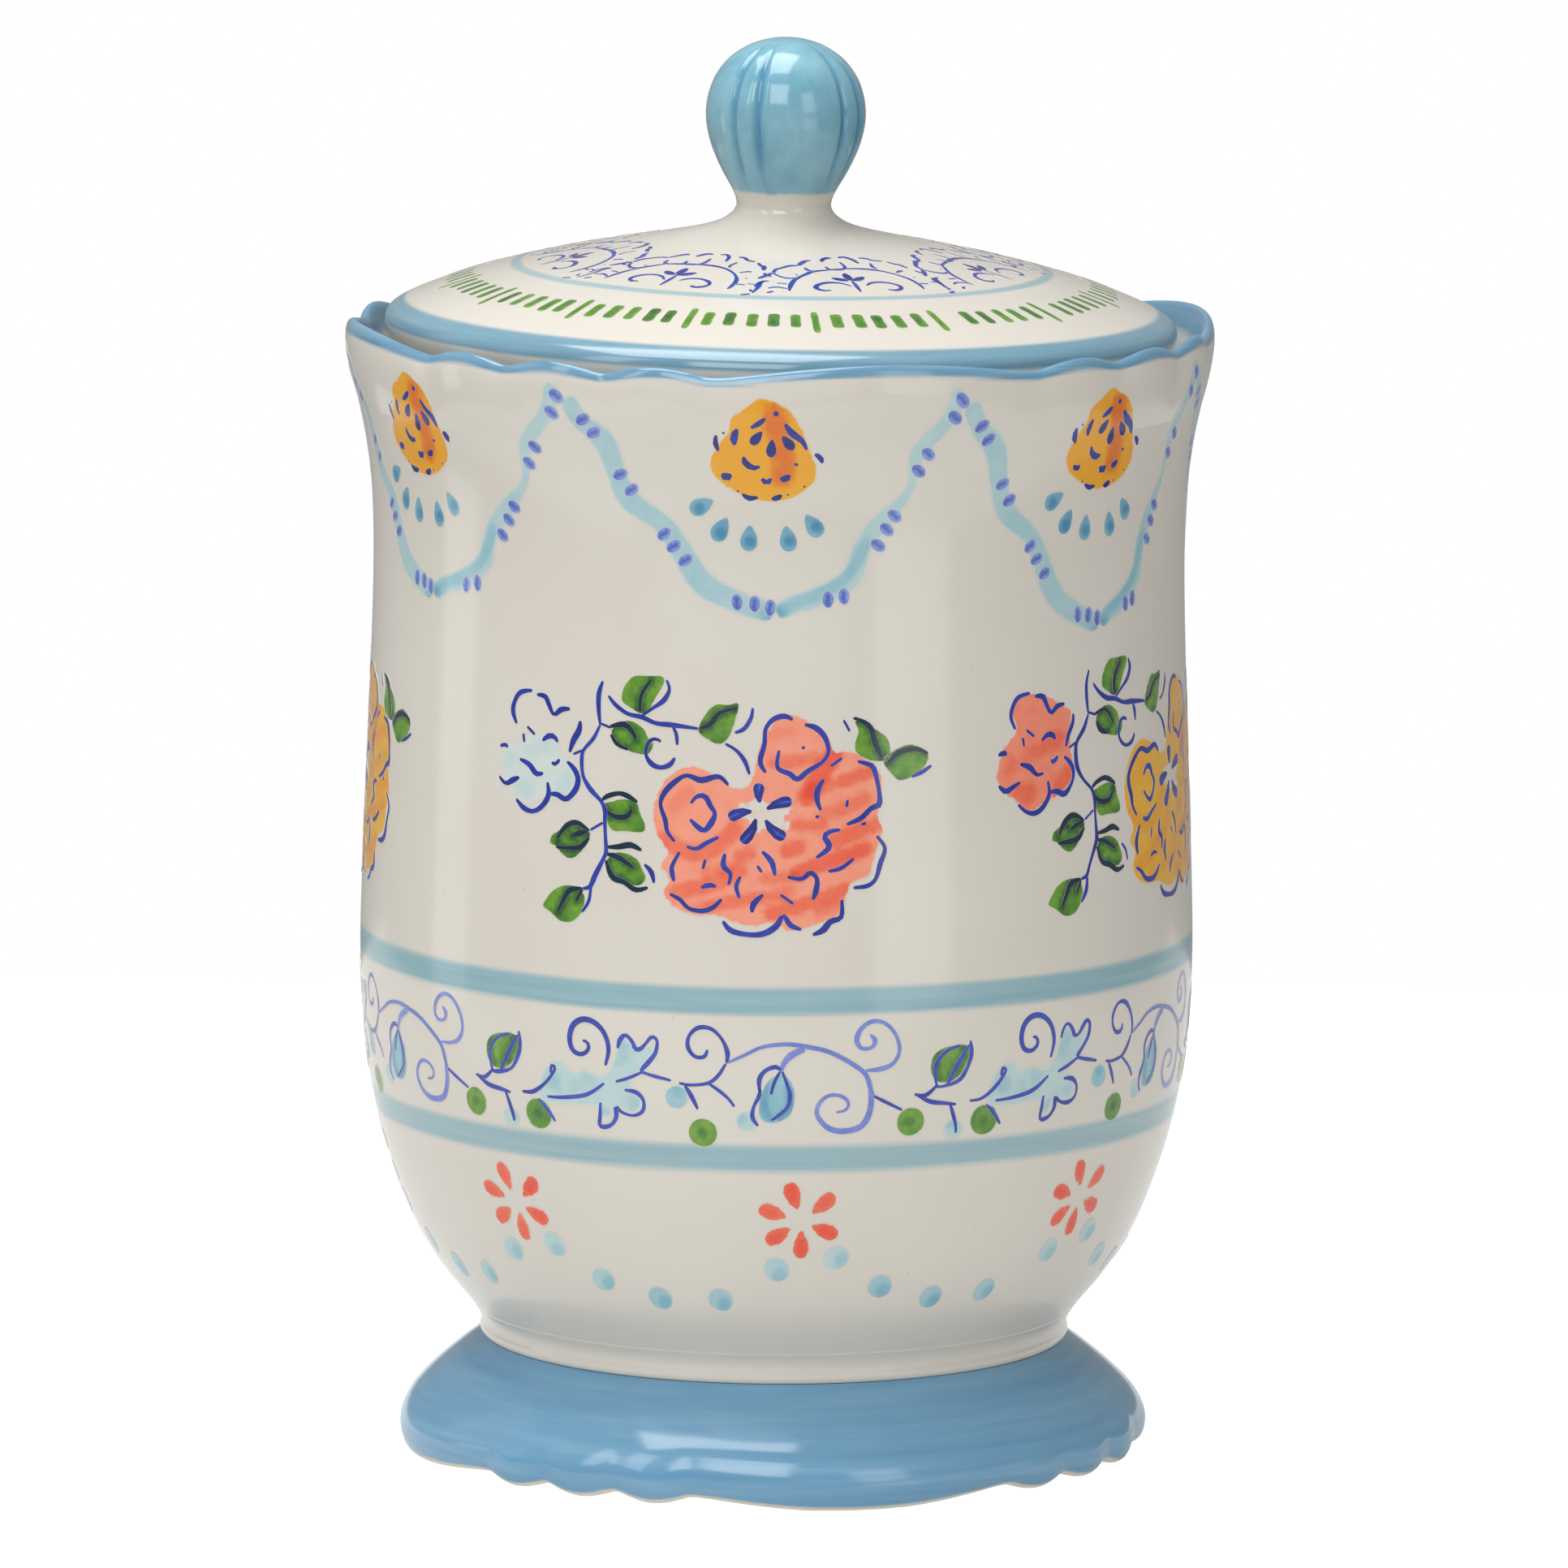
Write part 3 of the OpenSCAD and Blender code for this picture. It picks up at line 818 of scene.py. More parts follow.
def stroke(pile, path, width=1.0, tone=0.5, layer=2, columns=4, taper=0.5, dabs=()):
    # one pull of the brush: round at its ends, thinner where it lifts off
    path = [tuple(p) for p in path]
    if not isinstance(width, (list, tuple)):
        middle = [width * shake.uniform(0.75, 1.3) for _ in path[2:]]      # a hand never presses evenly
        width = [width * taper, *middle, width * taper]
    rows = smoothLine([(x, y, w) for (x, y), w in zip(path, width)], 6)
    run = np.concatenate([[0], np.cumsum(np.sqrt((np.diff(rows[:, :2], axis=0) ** 2).sum(1)))])
    full = run[-1]
    gap = min(max(max(width) * 0.55, 0.45), 1.6)
    marks = list(np.linspace(0, full, max(4, int(full / gap))))
    endRadius = [min(width[0] / 2, full / 3), min(width[-1] / 2, full / 3)]
    for k in (0.08, 0.3, 0.65):
        marks += [endRadius[0] * k, full - endRadius[1] * k]
    marks = np.unique(np.round(marks, 4))
    x, y, w = (np.interp(marks, run, rows[:, k]) for k in range(3))
    dx, dy = np.gradient(x, marks), np.gradient(y, marks)
    size = np.maximum(np.hypot(dx, dy), 1e-9)
    nx, ny = -dy / size, dx / size
    start = np.clip(1 - marks / endRadius[0], 0, 1)
    end = np.clip(1 - (full - marks) / endRadius[1], 0, 1)
    cap = np.maximum(start, end)
    half = w / 2 * np.sqrt(np.maximum(1 - cap ** 2, 0.02))
    across = np.linspace(-1, 1, columns + 1)
    points, edge = [], []
    for i in range(len(marks)):
        for c in across:
            points.append((x[i] + nx[i] * half[i] * c, y[i] + ny[i] * half[i] * c))
            edge.append(max(abs(c), cap[i]))
    faces = []
    wide = columns + 1
    for i in range(len(marks) - 1):
        for j in range(columns):
            faces.append([i * wide + j, i * wide + j + 1, (i + 1) * wide + j + 1, (i + 1) * wide + j])
    lean = shake.uniform(-0.12, 0.12)
    tones = toneAt(np.array(points), tone + lean, dabs)
    addSlab(pile, points, faces, edge, tones, layer)


def wash(pile, outline, tone=0.3, grain=None, soft=1.6, layer=0, dabs=(), holes=()):
    # a filled patch whose colour fades at its outline and round its holes
    grain = grain or brush["grain"]
    ring = evenly(smoothLine(outline, 6, closed=True), grain * 0.8, closed=True)
    low, high = ring.min(0), ring.max(0)
    grid = [(x + shake.uniform(-0.2, 0.2) * grain, y + shake.uniform(-0.2, 0.2) * grain)
            for x in np.arange(low[0], high[0], grain) for y in np.arange(low[1], high[1], grain)]
    grid = np.array(grid)
    loop = np.vstack([ring, ring[:1]])
    inner = grid[insideOf(grid, ring) & (nearest(grid, loop) > grain * 0.45)]
    spots = [Vector(p) for p in np.vstack([ring, inner])]
    count = len(ring)
    borders = [(i, (i + 1) % count) for i in range(count)]
    found, _, faces, *_ = geometry.delaunay_2d_cdt(spots, borders, [], 1, 1e-5)
    points = np.array([tuple(p) for p in found])
    edge = np.clip(1 - nearest(points, loop) / soft, 0, 1)
    for hole in holes:
        gap = evenly(smoothLine(hole, 6, closed=True), 0.6, closed=True)
        away = nearest(points, np.vstack([gap, gap[:1]]))
        edge = np.maximum(edge, np.where(insideOf(points, gap), 1, np.clip(1 - away / (soft * 0.5), 0, 1)))
    tones = toneAt(points, tone, dabs)
    addSlab(pile, [tuple(p) for p in points], [list(f) for f in faces], edge, tones, layer)


def shifted(path, across, up=0.0, wide=1.0):
    return [(x * wide + across, y + up) for x, y in path]


def shiftedDabs(dabs, across, up=0.0, wide=1.0):
    return [(shifted(path, across, up, wide), width, more) for path, width, more in dabs]


# wrapping: two trees, one for the jar's side and one for the lid's top

def outlineStrip(name, rows):
    # the outline as a narrow ribbon in the XZ plane, for the wrap to measure against
    verts = [(r * mm, side * mm, z * mm) for r, z, _, _ in rows for side in (-1, 1)]
    faces = [(2 * i, 2 * i + 1, 2 * i + 3, 2 * i + 2) for i in range(len(rows) - 1)]
    mesh = bpy.data.meshes.new(name)
    mesh.from_pydata(verts, [], faces)
    pointAttribute(mesh, "wave", [(push * mm, lift * mm, 0) for _, _, push, lift in rows for _ in (0, 1)],
                   "FLOAT_VECTOR")
    strip = bpy.data.objects.new(name, mesh)
    scene.collection.objects.link(strip)
    return strip


def wrapTree(name, onLid, marks):
    sockets = [("Geometry", "Geometry", "INPUT"), ("Outline", "Object", "INPUT"), ("Mark", "Object", "INPUT"),
               ("Wrap Radius", "Float", "INPUT"), ("Reach", "Float", "INPUT"), *lobeSockets,
               ("Finish", "Material", "INPUT"), ("Geometry", "Geometry", "OUTPUT")]
    tree, given, result = newTree(name, sockets)
    shape = given.outputs[0]
    if marks:
        # one mark at each point, turned and sized by the point's own attributes
        mark = addNode(tree, "GeometryNodeObjectInfo", None, {"Object": given.outputs["Mark"]})
        turn = addNode(tree, "GeometryNodeInputNamedAttribute", {"data_type": "FLOAT"}, {"Name": "turn"})
        size = addNode(tree, "GeometryNodeInputNamedAttribute", {"data_type": "FLOAT_VECTOR"},
                       {"Name": "size"})
        spin = addNode(tree, "ShaderNodeCombineXYZ", None, {2: turn.outputs[0]})
        angle = addNode(tree, "FunctionNodeEulerToRotation", None, {0: spin.outputs[0]})
        placed = addNode(tree, "GeometryNodeInstanceOnPoints", None,
                         {"Points": shape, "Instance": mark.outputs["Geometry"], "Rotation": angle.outputs[0],
                          "Scale": size.outputs[0]})
        shape = addNode(tree, "GeometryNodeRealizeInstances", None, {0: placed.outputs[0]}).outputs[0]
    here = addNode(tree, "GeometryNodeInputPosition").outputs[0]
    flat = addNode(tree, "ShaderNodeSeparateXYZ", None, {0: here})
    outline = addNode(tree, "GeometryNodeObjectInfo", None, {"Object": given.outputs["Outline"]})
    wave = addNode(tree, "GeometryNodeInputNamedAttribute", {"data_type": "FLOAT_VECTOR"}, {"Name": "wave"})
    if onLid:
        x2 = addNode(tree, "ShaderNodeMath", {"operation": "POWER"}, {0: flat.outputs[0], 1: 2.0})
        y2 = addNode(tree, "ShaderNodeMath", {"operation": "POWER"}, {0: flat.outputs[1], 1: 2.0})
        both = addNode(tree, "ShaderNodeMath", {"operation": "ADD"}, {0: x2.outputs[0], 1: y2.outputs[0]})
        away = addNode(tree, "ShaderNodeMath", {"operation": "SQRT"}, {0: both.outputs[0]})
        source = addNode(tree, "ShaderNodeCombineXYZ", None, {0: away.outputs[0], 2: given.outputs["Reach"]})
        direction = (0.0, 0.0, -1.0)
    else:
        source = addNode(tree, "ShaderNodeCombineXYZ", None, {0: given.outputs["Reach"], 2: flat.outputs[1]})
        direction = (-1.0, 0.0, 0.0)
    ray = addNode(tree, "GeometryNodeRaycast", {"data_type": "FLOAT_VECTOR"},
                  {"Target Geometry": outline.outputs["Geometry"], "Attribute": wave.outputs[0],
                   "Source Position": source.outputs[0], "Ray Direction": direction, "Ray Length": 1.0})
    hit = addNode(tree, "ShaderNodeSeparateXYZ", None, {0: ray.outputs["Hit Position"]})
    if onLid:
        up = addNode(tree, "ShaderNodeMath", {"operation": "ADD"}, {0: hit.outputs[2], 1: flat.outputs[2]})
        place = addNode(tree, "ShaderNodeCombineXYZ", None,
                        {0: flat.outputs[0], 1: flat.outputs[1], 2: up.outputs[0]})
    else:
        angle = addNode(tree, "ShaderNodeMath", {"operation": "DIVIDE"},
                        {0: flat.outputs[0], 1: given.outputs["Wrap Radius"]})
        degrees = addNode(tree, "ShaderNodeMath", {"operation": "DEGREES"}, {0: angle.outputs[0]})
        height = lobeAt(tree, given, degrees.outputs[0])
        moved = addNode(tree, "ShaderNodeVectorMath", {"operation": "SCALE"},
                        {0: ray.outputs["Attribute"], "Scale": height})
        parts = addNode(tree, "ShaderNodeSeparateXYZ", None, {0: moved.outputs[0]})
        pushed = addNode(tree, "ShaderNodeMath", {"operation": "ADD"},
                         {0: hit.outputs[0], 1: parts.outputs[0]})
        radius = addNode(tree, "ShaderNodeMath", {"operation": "ADD"},
                         {0: pushed.outputs[0], 1: flat.outputs[2]})
        inward = addNode(tree, "ShaderNodeMath", {"operation": "MULTIPLY"}, {0: radius.outputs[0], 1: -1.0})
        sine = addNode(tree, "ShaderNodeMath", {"operation": "SINE"}, {0: angle.outputs[0]})
        cosine = addNode(tree, "ShaderNodeMath", {"operation": "COSINE"}, {0: angle.outputs[0]})
        x = addNode(tree, "ShaderNodeMath", {"operation": "MULTIPLY"},
                    {0: radius.outputs[0], 1: sine.outputs[0]})
        y = addNode(tree, "ShaderNodeMath", {"operation": "MULTIPLY"},
                    {0: inward.outputs[0], 1: cosine.outputs[0]})
        z = addNode(tree, "ShaderNodeMath", {"operation": "ADD"}, {0: hit.outputs[2], 1: parts.outputs[1]})
        place = addNode(tree, "ShaderNodeCombineXYZ", None,
                        {0: x.outputs[0], 1: y.outputs[0], 2: z.outputs[0]})
    laid = addNode(tree, "GeometryNodeSetPosition", None, {0: shape, "Position": place.outputs[0]})
    finishTree(tree, given, result, laid.outputs[0])
    return tree


fine = 24                   # steps for each stretch of the outlines that strokes are laid on
wallRows = smoothLine([(r, z, 0, 0) for r, z in jar["outside"]], fine)
rimRows = smoothLine([row[:4] for row in rim["section"]], fine)[1:4 * fine]
topRows = smoothLine([(r, lid["edgeHeight"] + z, 0, 0) for r, z in lid["outside"]], fine)[3 * fine:]
sideStrip = outlineStrip("side outline", [*wallRows, *rimRows])
topStrip = outlineStrip("top outline", topRows)
wraps = {}
for where, onLid in (("side", False), ("lid", True)):
    for what, marks in ((" strokes", False), (" marks", True)):
        wraps[(onLid, marks)] = wrapTree(where + what, onLid, marks)


def layOn(name, mesh, kind, onLid=False, mark=None):
    # wraps a flat mesh on the pot and hands it to its body
    piece = bpy.data.objects.new(name, mesh)
    scene.collection.objects.link(piece)
    inputs = {**lobes, "Wide Share": rimWide, "Wrap Radius": brush["wrapRadius"] * mm, "Reach": 0.35,
              "Outline": topStrip if onLid else sideStrip, "Finish": underglaze[kind]}
    if mark:
        inputs["Mark"] = mark
    runTree(piece, wraps[(onLid, mark is not None)], inputs)
    crease(piece, 40)
    if onLid:
        leanLid(piece)
    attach(piece, "lid" if onLid else "jar")
    return piece


def meshOf(name, pile):
    mesh = bpy.data.meshes.new(name)
    mesh.from_pydata(pile["verts"], [], pile["faces"])
    mesh.polygons.foreach_set("use_smooth", [True] * len(pile["faces"]))
    pointAttribute(mesh, "tone", pile["tone"])
    pointAttribute(mesh, "edge", pile["edge"])
    return mesh


def paintPiece(name, kind, draw, onLid=False):
    pile = newPile()
    draw(pile)
    return layOn(name, meshOf(name, pile), kind, onLid)


def stampPiece(name, kind, outline, spots, onLid=False, tone=0.35, soft=0.7, dabs=(), layer=1, grain=0.6):
    # spots are (across, up, turn in degrees, width, height, load); the outline is 1 mm scale
    pile = newPile()
    wash(pile, outline, tone=tone, grain=grain, soft=soft, layer=layer, dabs=dabs)
    mark = bpy.data.objects.new("mark", meshOf("mark", pile))
    scene.collection.objects.link(mark)
    mesh = bpy.data.meshes.new(name)
    mesh.from_pydata([(x * mm, y * mm, 0) for x, y, *_ in spots], [], [])
    pointAttribute(mesh, "turn", [math.radians(s[2]) for s in spots])
    pointAttribute(mesh, "size", [(s[3], s[4], 1) for s in spots], "FLOAT_VECTOR")
    pointAttribute(mesh, "load", [s[5] for s in spots])
    piece = layOn(name, mesh, kind, onLid, mark)
    bpy.data.objects.remove(mark)
    return piece


tear = [(0, 2.5), (0.75, 1.75), (1.35, 0.6), (1.65, -0.5), (1.45, -1.6), (0.6, -2.4), (-0.6, -2.4),
        (-1.45, -1.6), (-1.65, -0.5), (-1.35, 0.6), (-0.75, 1.75)]
disc = [(math.cos(a), math.sin(a)) for a in np.linspace(0, 2 * math.pi, 12, endpoint=False)]
dash = [(-0.95, -2.4), (0.95, -2.4), (1.05, 0), (0.95, 2.4), (-0.9, 2.4), (-1.05, 0)]


def oval(width, height):
    return [(x * width / 2, y * height / 2) for x, y in disc]


# swags, shells and teardrops under the rim

swag = {
    "bottoms": [-57, -0.5, 51, 101.5, 152, 202.5, 253],    # degrees
    "cusps": [-82, -30, 24.4, 72.3, 126.8, 177, 228],      # the cusp left of each bottom
    "drops": [-1.3, 0, -5.6, -2, -3, -1, -2],              # mm, how much lower each one hangs
    "top": 217,
    "halves": (41.4, 34.1),                                # mm from cusp to bottom to cusp, as drawn
    "left": [(-39.8, 214.6, 4.8), (-37.2, 210.4, 4.2), (-32.6, 206.4, 5.4), (-30.8, 200.5, 4.6),
             (-28.4, 195.4, 5), (-21.6, 191, 4.4), (-18.4, 186.4, 5), (-14.4, 180.4, 5.6),
             (-8.2, 177, 5), (0, 174.4, 4.6)],
    "right": [(0, 174.4, 4), (3.5, 176.3, 4.2), (8.1, 177.7, 4.6), (14.4, 181.5, 4.8), (16.6, 187.6, 4),
              (20.6, 192.5, 4.2), (25.2, 198, 1.8), (26.2, 205, 3.6), (31.4, 211.3, 3.4),
              (33.4, 216.4, 4.4)],
    "pooled": [(0, 174.3), (4, 176.6), (9, 178.6), (14, 182), (17, 188)],
    "beads": [(-36.7, 210.6), (-34.7, 208.2), (-30, 200.3), (-27.9, 197.4), (-21.6, 189.2),
              (-19.7, 186.9), (-17.4, 184.3), (-7.3, 176.6), (-3.9, 176.3), (-0.9, 175.6), (10, 177.2),
              (13, 177.8), (19.4, 187.4), (21, 190.4), (22.4, 193), (26.6, 201.6), (28.2, 204.8),
              (32.6, 211.6), (33.8, 214.4)],
}


def swagPlace(i, x, z):
    bottom = swag["bottoms"][i]
    nextCusp = swag["cusps"][i + 1] if i + 1 < len(swag["cusps"]) else swag["cusps"][0] + 360
    span = (bottom - swag["cusps"][i]) if x < 0 else (nextCusp - bottom)
    stretch = math.radians(span) * brush["wrapRadius"] / swag["halves"][0 if x < 0 else 1]
    fall = (swag["top"] - z) * (1 - swag["drops"][i] / (swag["top"] - 174))
    return math.radians(bottom) * brush["wrapRadius"] + x * stretch, swag["top"] - fall


def drawSwags(pile):
    for i in range(len(swag["bottoms"])):
        pooled = [([swagPlace(i, x, z) for x, z in swag["pooled"]], 2.2, 0.28),
                  ([swagPlace(i, 0, 173.6)], 5, 0.3)]
        for half in ("left", "right"):
            path = [swagPlace(i, x, z) for x, z, _ in swag[half]]
            stroke(pile, path, [w for _, _, w in swag[half]], tone=0.2, layer=0, columns=8, dabs=pooled)


def beadSpots():
    spots = []
    for i in range(len(swag["bottoms"])):
        for x, z in swag["beads"]:
            across, up = swagPlace(i, x, z)
            steep = 90 if abs(x) < 14 else (32 if x < 0 else -32)
            spots.append((across, up, steep + shake.uniform(-8, 8), 1, 1, shake.uniform(-0.1, 0.1)))
    return spots


shell = {
    "height": 205.5,
    "beside": -1.4,        # mm from the swag's bottom
    "outline": [(0, 10), (2, 9), (4, 8), (6.2, 4.8), (7.4, 1.5), (9, -2.5), (8.6, -5.8), (5.5, -8.4),
                (1.5, -9.6), (-3, -9.2), (-7, -7.4), (-10, -5), (-11, -2), (-9, 2), (-7.4, 4),
                (-6.8, 6.8), (-4, 8.6), (-2, 10)],
    "streak": [([(1.2, 7), (2, 3), (2.8, -2), (2.6, -4.6)], 4.2, 0.62)],
    "marks": [([(0.9, 7.4), (1.9, 7.4)], 1.6), ([(-3.2, 4.8), (-1.6, 5.7), (-0.5, 6.6)], 0.9),
              ([(-5.6, 4.6), (-6.3, 3), (-6.2, 1.4)], 1.1),
              ([(3, 5.6), (4.4, 3.8), (6.2, 2.4), (7.1, 0.6)], 1),
              ([(-4.6, -0.8), (-4.2, -2.1), (-2.8, -3), (-1.5, -2.7)], 1),
              ([(-8.7, -4.2), (-7.8, -4.9), (-6.9, -4.3)], 1.2),
              ([(-1.2, -5), (-0.3, -5.9), (0.6, -5)], 1.1),
              ([(2.2, -4.9), (3.2, -5.1), (4.1, -4.3)], 1.2),
              ([(-4.9, -8.1), (-3.6, -8.9), (-1.9, -8.7)], 0.9),
              ([(0.6, -8.9), (1.7, -8.8), (2.6, -8.2)], 0.9), ([(4.8, -2.2), (5.6, -2.3)], 1),
              ([(-5.9, -7.5), (-5.5, -7.6)], 0.7), ([(3.5, -8.1), (3.9, -8.2)], 0.6),
              ([(6.6, -6.5), (7, -6.6)], 0.6), ([(-9.6, 3.3), (-9.7, 1.6), (-9.2, 0.2)], 0.9),
              ([(8.6, -0.2), (9.6, -0.9), (10.1, -2)], 1), ([(-8.4, 3.6), (-8, 3.9)], 0.6)],
    "seeds": [(-2.1, 2.9, -38, 0.55, 0.66, 0.2), (0.6, 0.9, -4, 0.58, 0.72, 0.2),
              (3.6, 2, 38, 0.58, 0.68, 0.2)],
    "tears": [(-12.6, -10.6, -62), (-9, -15, -28), (-3.6, -16.6, -3), (3.8, -16.6, 12),
              (8.6, -14.1, 36)],
}


def shellPlace(i):
    return swagPlace(i, 0, shell["height"])[0] + shell["beside"], shell["height"] + swag["drops"][i] * 0.15


def drawShells(pile):
    for i in range(len(swag["bottoms"])):
        x, z = shellPlace(i)
        streak = shiftedDabs(shell["streak"], x, z)
        wash(pile, shifted(shell["outline"], x, z), tone=0.4, soft=0.9, dabs=streak)


def drawShellMarks(pile):
    for i in range(len(swag["bottoms"])):
        x, z = shellPlace(i)
        for path, width in shell["marks"]:
            stroke(pile, shifted(path, x, z), width * 1.3, tone=0.8, taper=0.45)


def shellSpots(rows):
    return [(x + row[0], z + row[1], *row[2:]) for x, z in map(shellPlace, range(len(swag["bottoms"])))
            for row in rows]


paintPiece("swag_ribbons", "blue", drawSwags)
stampPiece("swag_beads", "bead", oval(3.4, 2.4), beadSpots(), tone=0.22, soft=0.6,
           dabs=[([(-0.8, 0.1), (0.8, 0)], 0.9, 0.6)], layer=2)
paintPiece("shells", "yellow", drawShells)
paintPiece("shell_marks", "cobalt", drawShellMarks)
stampPiece("shell_seeds", "cobalt", tear, shellSpots(shell["seeds"]), tone=0.8, layer=2)
tearRows = [(x, z, turn, 1.08, 1.06, shake.uniform(-0.05, 0.1)) for x, z, turn in shell["tears"]]
stampPiece("shell_teardrops", "blue", tear, shellSpots(tearRows), tone=0.68, soft=0.6,
           dabs=[([(0.3, -0.6)], 2, 0.3)])
print("swags and shells painted")

# flower sprays round the middle, drawn for the front one

spray = {
    "eye": -3.5,           # mm, where the front flower's eye is drawn
    "stations": [(-2.5, "coral", "mist"), (70.8, "yellow", "coral"), (139, "coral", "mist"),
                 (207, "yellow", "coral"), (-86, "yellow", "mist")],
}
peony = {
    "outline": [(-0.3, 154.4), (3, 155.4), (6.5, 153.6), (9.5, 151.6), (11, 148.2), (13, 148.6),
                (15.5, 147.6), (19, 145.5), (20.3, 142), (20, 139), (19.4, 136), (20.3, 133),
                (19.4, 130), (18.6, 127), (17.6, 124.4), (14, 122.6), (12.8, 119), (11.3, 116.4),
                (8, 115.4), (5.5, 114.3), (2, 114), (-1, 115.4), (-4, 114.8), (-7.5, 115.3),
                (-11, 116.6), (-15.3, 116.6), (-19.5, 118), (-21.6, 120.6), (-20.6, 123.6),
                (-22.6, 126), (-21, 128.4), (-23.2, 132), (-24, 136), (-23, 140), (-20.8, 143.4),
                (-17, 145.2), (-13.4, 144.4), (-10.4, 143.2), (-8.4, 141.4), (-5.6, 141.8), (-4.4, 145),
                (-3.3, 150)],
    "eyeHole": [(-7.4, 138), (-5, 138.3), (-3.4, 140.4), (-2, 138.2), (1, 139.2), (3, 137.2),
                (1, 135.6), (2.6, 134), (0, 132.4), (-2.4, 133.8), (-4, 132.2), (-5, 134.6),
                (-7, 135.6)],
    "coats": [([(-21.5, 131), (-17, 128.7), (-12, 129.5), (-8, 133.4)], 3.2, 0.34),
              ([(-19, 121), (-12, 122.8), (-7, 125.5)], 3, 0.36),
              ([(-14, 118.3), (-5, 120), (2, 121.2)], 2.4, 0.32),
              ([(-1, 117.4), (6, 119.4), (13, 122)], 2.6, 0.4),
              ([(4, 125.2), (11, 127.6), (17, 129.6)], 2.8, 0.52),
              ([(11, 131.2), (16, 133.2), (20, 134.6)], 3, 0.4), ([(2, 129.4), (4, 130)], 3, 0.4),
              ([(-7, 128.3), (-5, 129)], 2.6, 0.35),
              ([(5.6, 139.6), (8.4, 144.4), (10.8, 147.6)], 3.4, 0.6),
              ([(6.5, 140.6), (10, 142)], 2.6, 0.35), ([(12.6, 142.6), (17.6, 144.2)], 2.6, 0.4),
              ([(3.6, 134.2), (8.4, 134.2)], 2.4, 0.35), ([(-20, 137), (-17, 140)], 3, 0.16),
              ([(-13, 125), (-9, 126)], 2.4, 0.24), ([(9, 136.4), (13, 137.4), (17, 139.4)], 2.6, 0.26),
              ([(-1, 146), (3, 146.4), (7, 147)], 2.4, 0.3), ([(-1, 151.6), (3, 152.6)], 2.2, 0.14),
              ([(-2, 124), (3, 124.4)], 2.4, 0.3), ([(8, 117.8), (11, 119)], 2.4, 0.3)],
    "petals": [([(-3.3, 138.5), (-3.6, 140.4), (-3.3, 142.2)], [0.6, 2, 2.4]),
               ([(-2, 137.3), (0.2, 138.4), (2.8, 138.8)], [0.6, 2, 2.4]),
               ([(-4.8, 136.8), (-7, 136.5), (-9.2, 135.4)], [0.6, 2, 2.4]),
               ([(-4, 135.4), (-4.8, 133), (-6.7, 130.8)], [0.6, 2, 2.4]),
               ([(-2.2, 135.2), (-0.8, 133.2), (1.6, 131.8)], [0.6, 2, 2.4])],
    "lines": [[(-9.3, 141.7), (-11.2, 143.3), (-14.5, 142.5), (-17.4, 143.3), (-20, 141.7),
               (-21.8, 139.6), (-22.4, 137.5), (-21.4, 134.6), (-21, 132.5), (-19.5, 130.6)],
              [(-16.5, 138), (-15.3, 139.4), (-13.7, 139.4), (-12.6, 137.5), (-11.8, 136.3),
               (-12.4, 134.6), (-13.7, 133), (-15, 133.5), (-16.6, 135)],
              [(-17.2, 129.8), (-15.3, 129.4), (-13.3, 130.6), (-11, 131.8)],
              [(-18.5, 128.7), (-19.9, 126), (-19.9, 124.6), (-19.5, 123)],
              [(-9.8, 128.7), (-10.1, 126.3), (-8.7, 124.8), (-9.1, 122.7)],
              [(-13.5, 127.5), (-14, 125.6)], [(-14.3, 122), (-12.8, 122.6), (-11.4, 122.3)],
              [(-20.3, 120.6), (-18.3, 119.6), (-16.6, 118), (-14, 117.6), (-12, 118.3), (-10.3, 120)],
              [(-6.8, 124.4), (-7.6, 122.5), (-7, 120.2)], [(-2.8, 129.2), (-1, 127.3), (-0.3, 124.6)],
              [(-3.7, 126.5), (-2.8, 125.2)], [(-2.5, 121), (-4.3, 119.2), (-4.6, 117.5)],
              [(0.7, 121), (3.2, 119.2)],
              [(2, 124.4), (4.7, 124), (6.3, 125.2), (7.6, 124), (7.4, 121.7), (6.8, 120)],
              [(-10.1, 115.8), (-8.5, 114), (-5.3, 113.3), (-2.4, 113.5), (0, 115), (1.3, 117),
               (2.6, 115.2), (4.7, 114.3)],
              [(6.8, 113.3), (8.8, 114.2), (10.1, 115.8), (12.2, 116.7), (12.3, 120)],
              [(14.5, 122.2), (17.2, 122.5), (18.8, 123.8), (19.7, 126.7), (20.6, 129.6), (19, 132)],
              [(7.4, 128), (9.9, 130), (9, 132), (10.1, 133), (12, 133.3)],
              [(13.2, 134.3), (15.9, 135.4), (18, 137.3), (19.5, 138), (19.5, 140.4), (18.8, 143.8),
               (18, 145.4), (15.3, 146.3)],
              [(9.7, 125.4), (12.2, 126), (14.6, 127.8)], [(16, 134.2), (17, 134.5)],
              [(7.2, 135.8), (8, 135.9)], [(13.2, 137.6), (13.4, 139)], [(4.6, 148.8), (5.2, 149.2)],
              [(8.8, 143), (7.6, 140.8), (7.6, 138.8), (8.3, 137)], [(10.1, 145.4), (12.3, 147)],
              [(-2.2, 144.2), (-3.3, 146.3), (-2.5, 149.6), (-2.3, 152.5), (-0.8, 154.4), (1.3, 155),
               (2.9, 154.3)],
              [(5.1, 153.4), (7.2, 152.8), (9, 151), (9.7, 148.3), (8.6, 146.3), (5.9, 144.6),
               (3.8, 143), (2.4, 144), (0, 145.2), (0.3, 148.5)]],
}
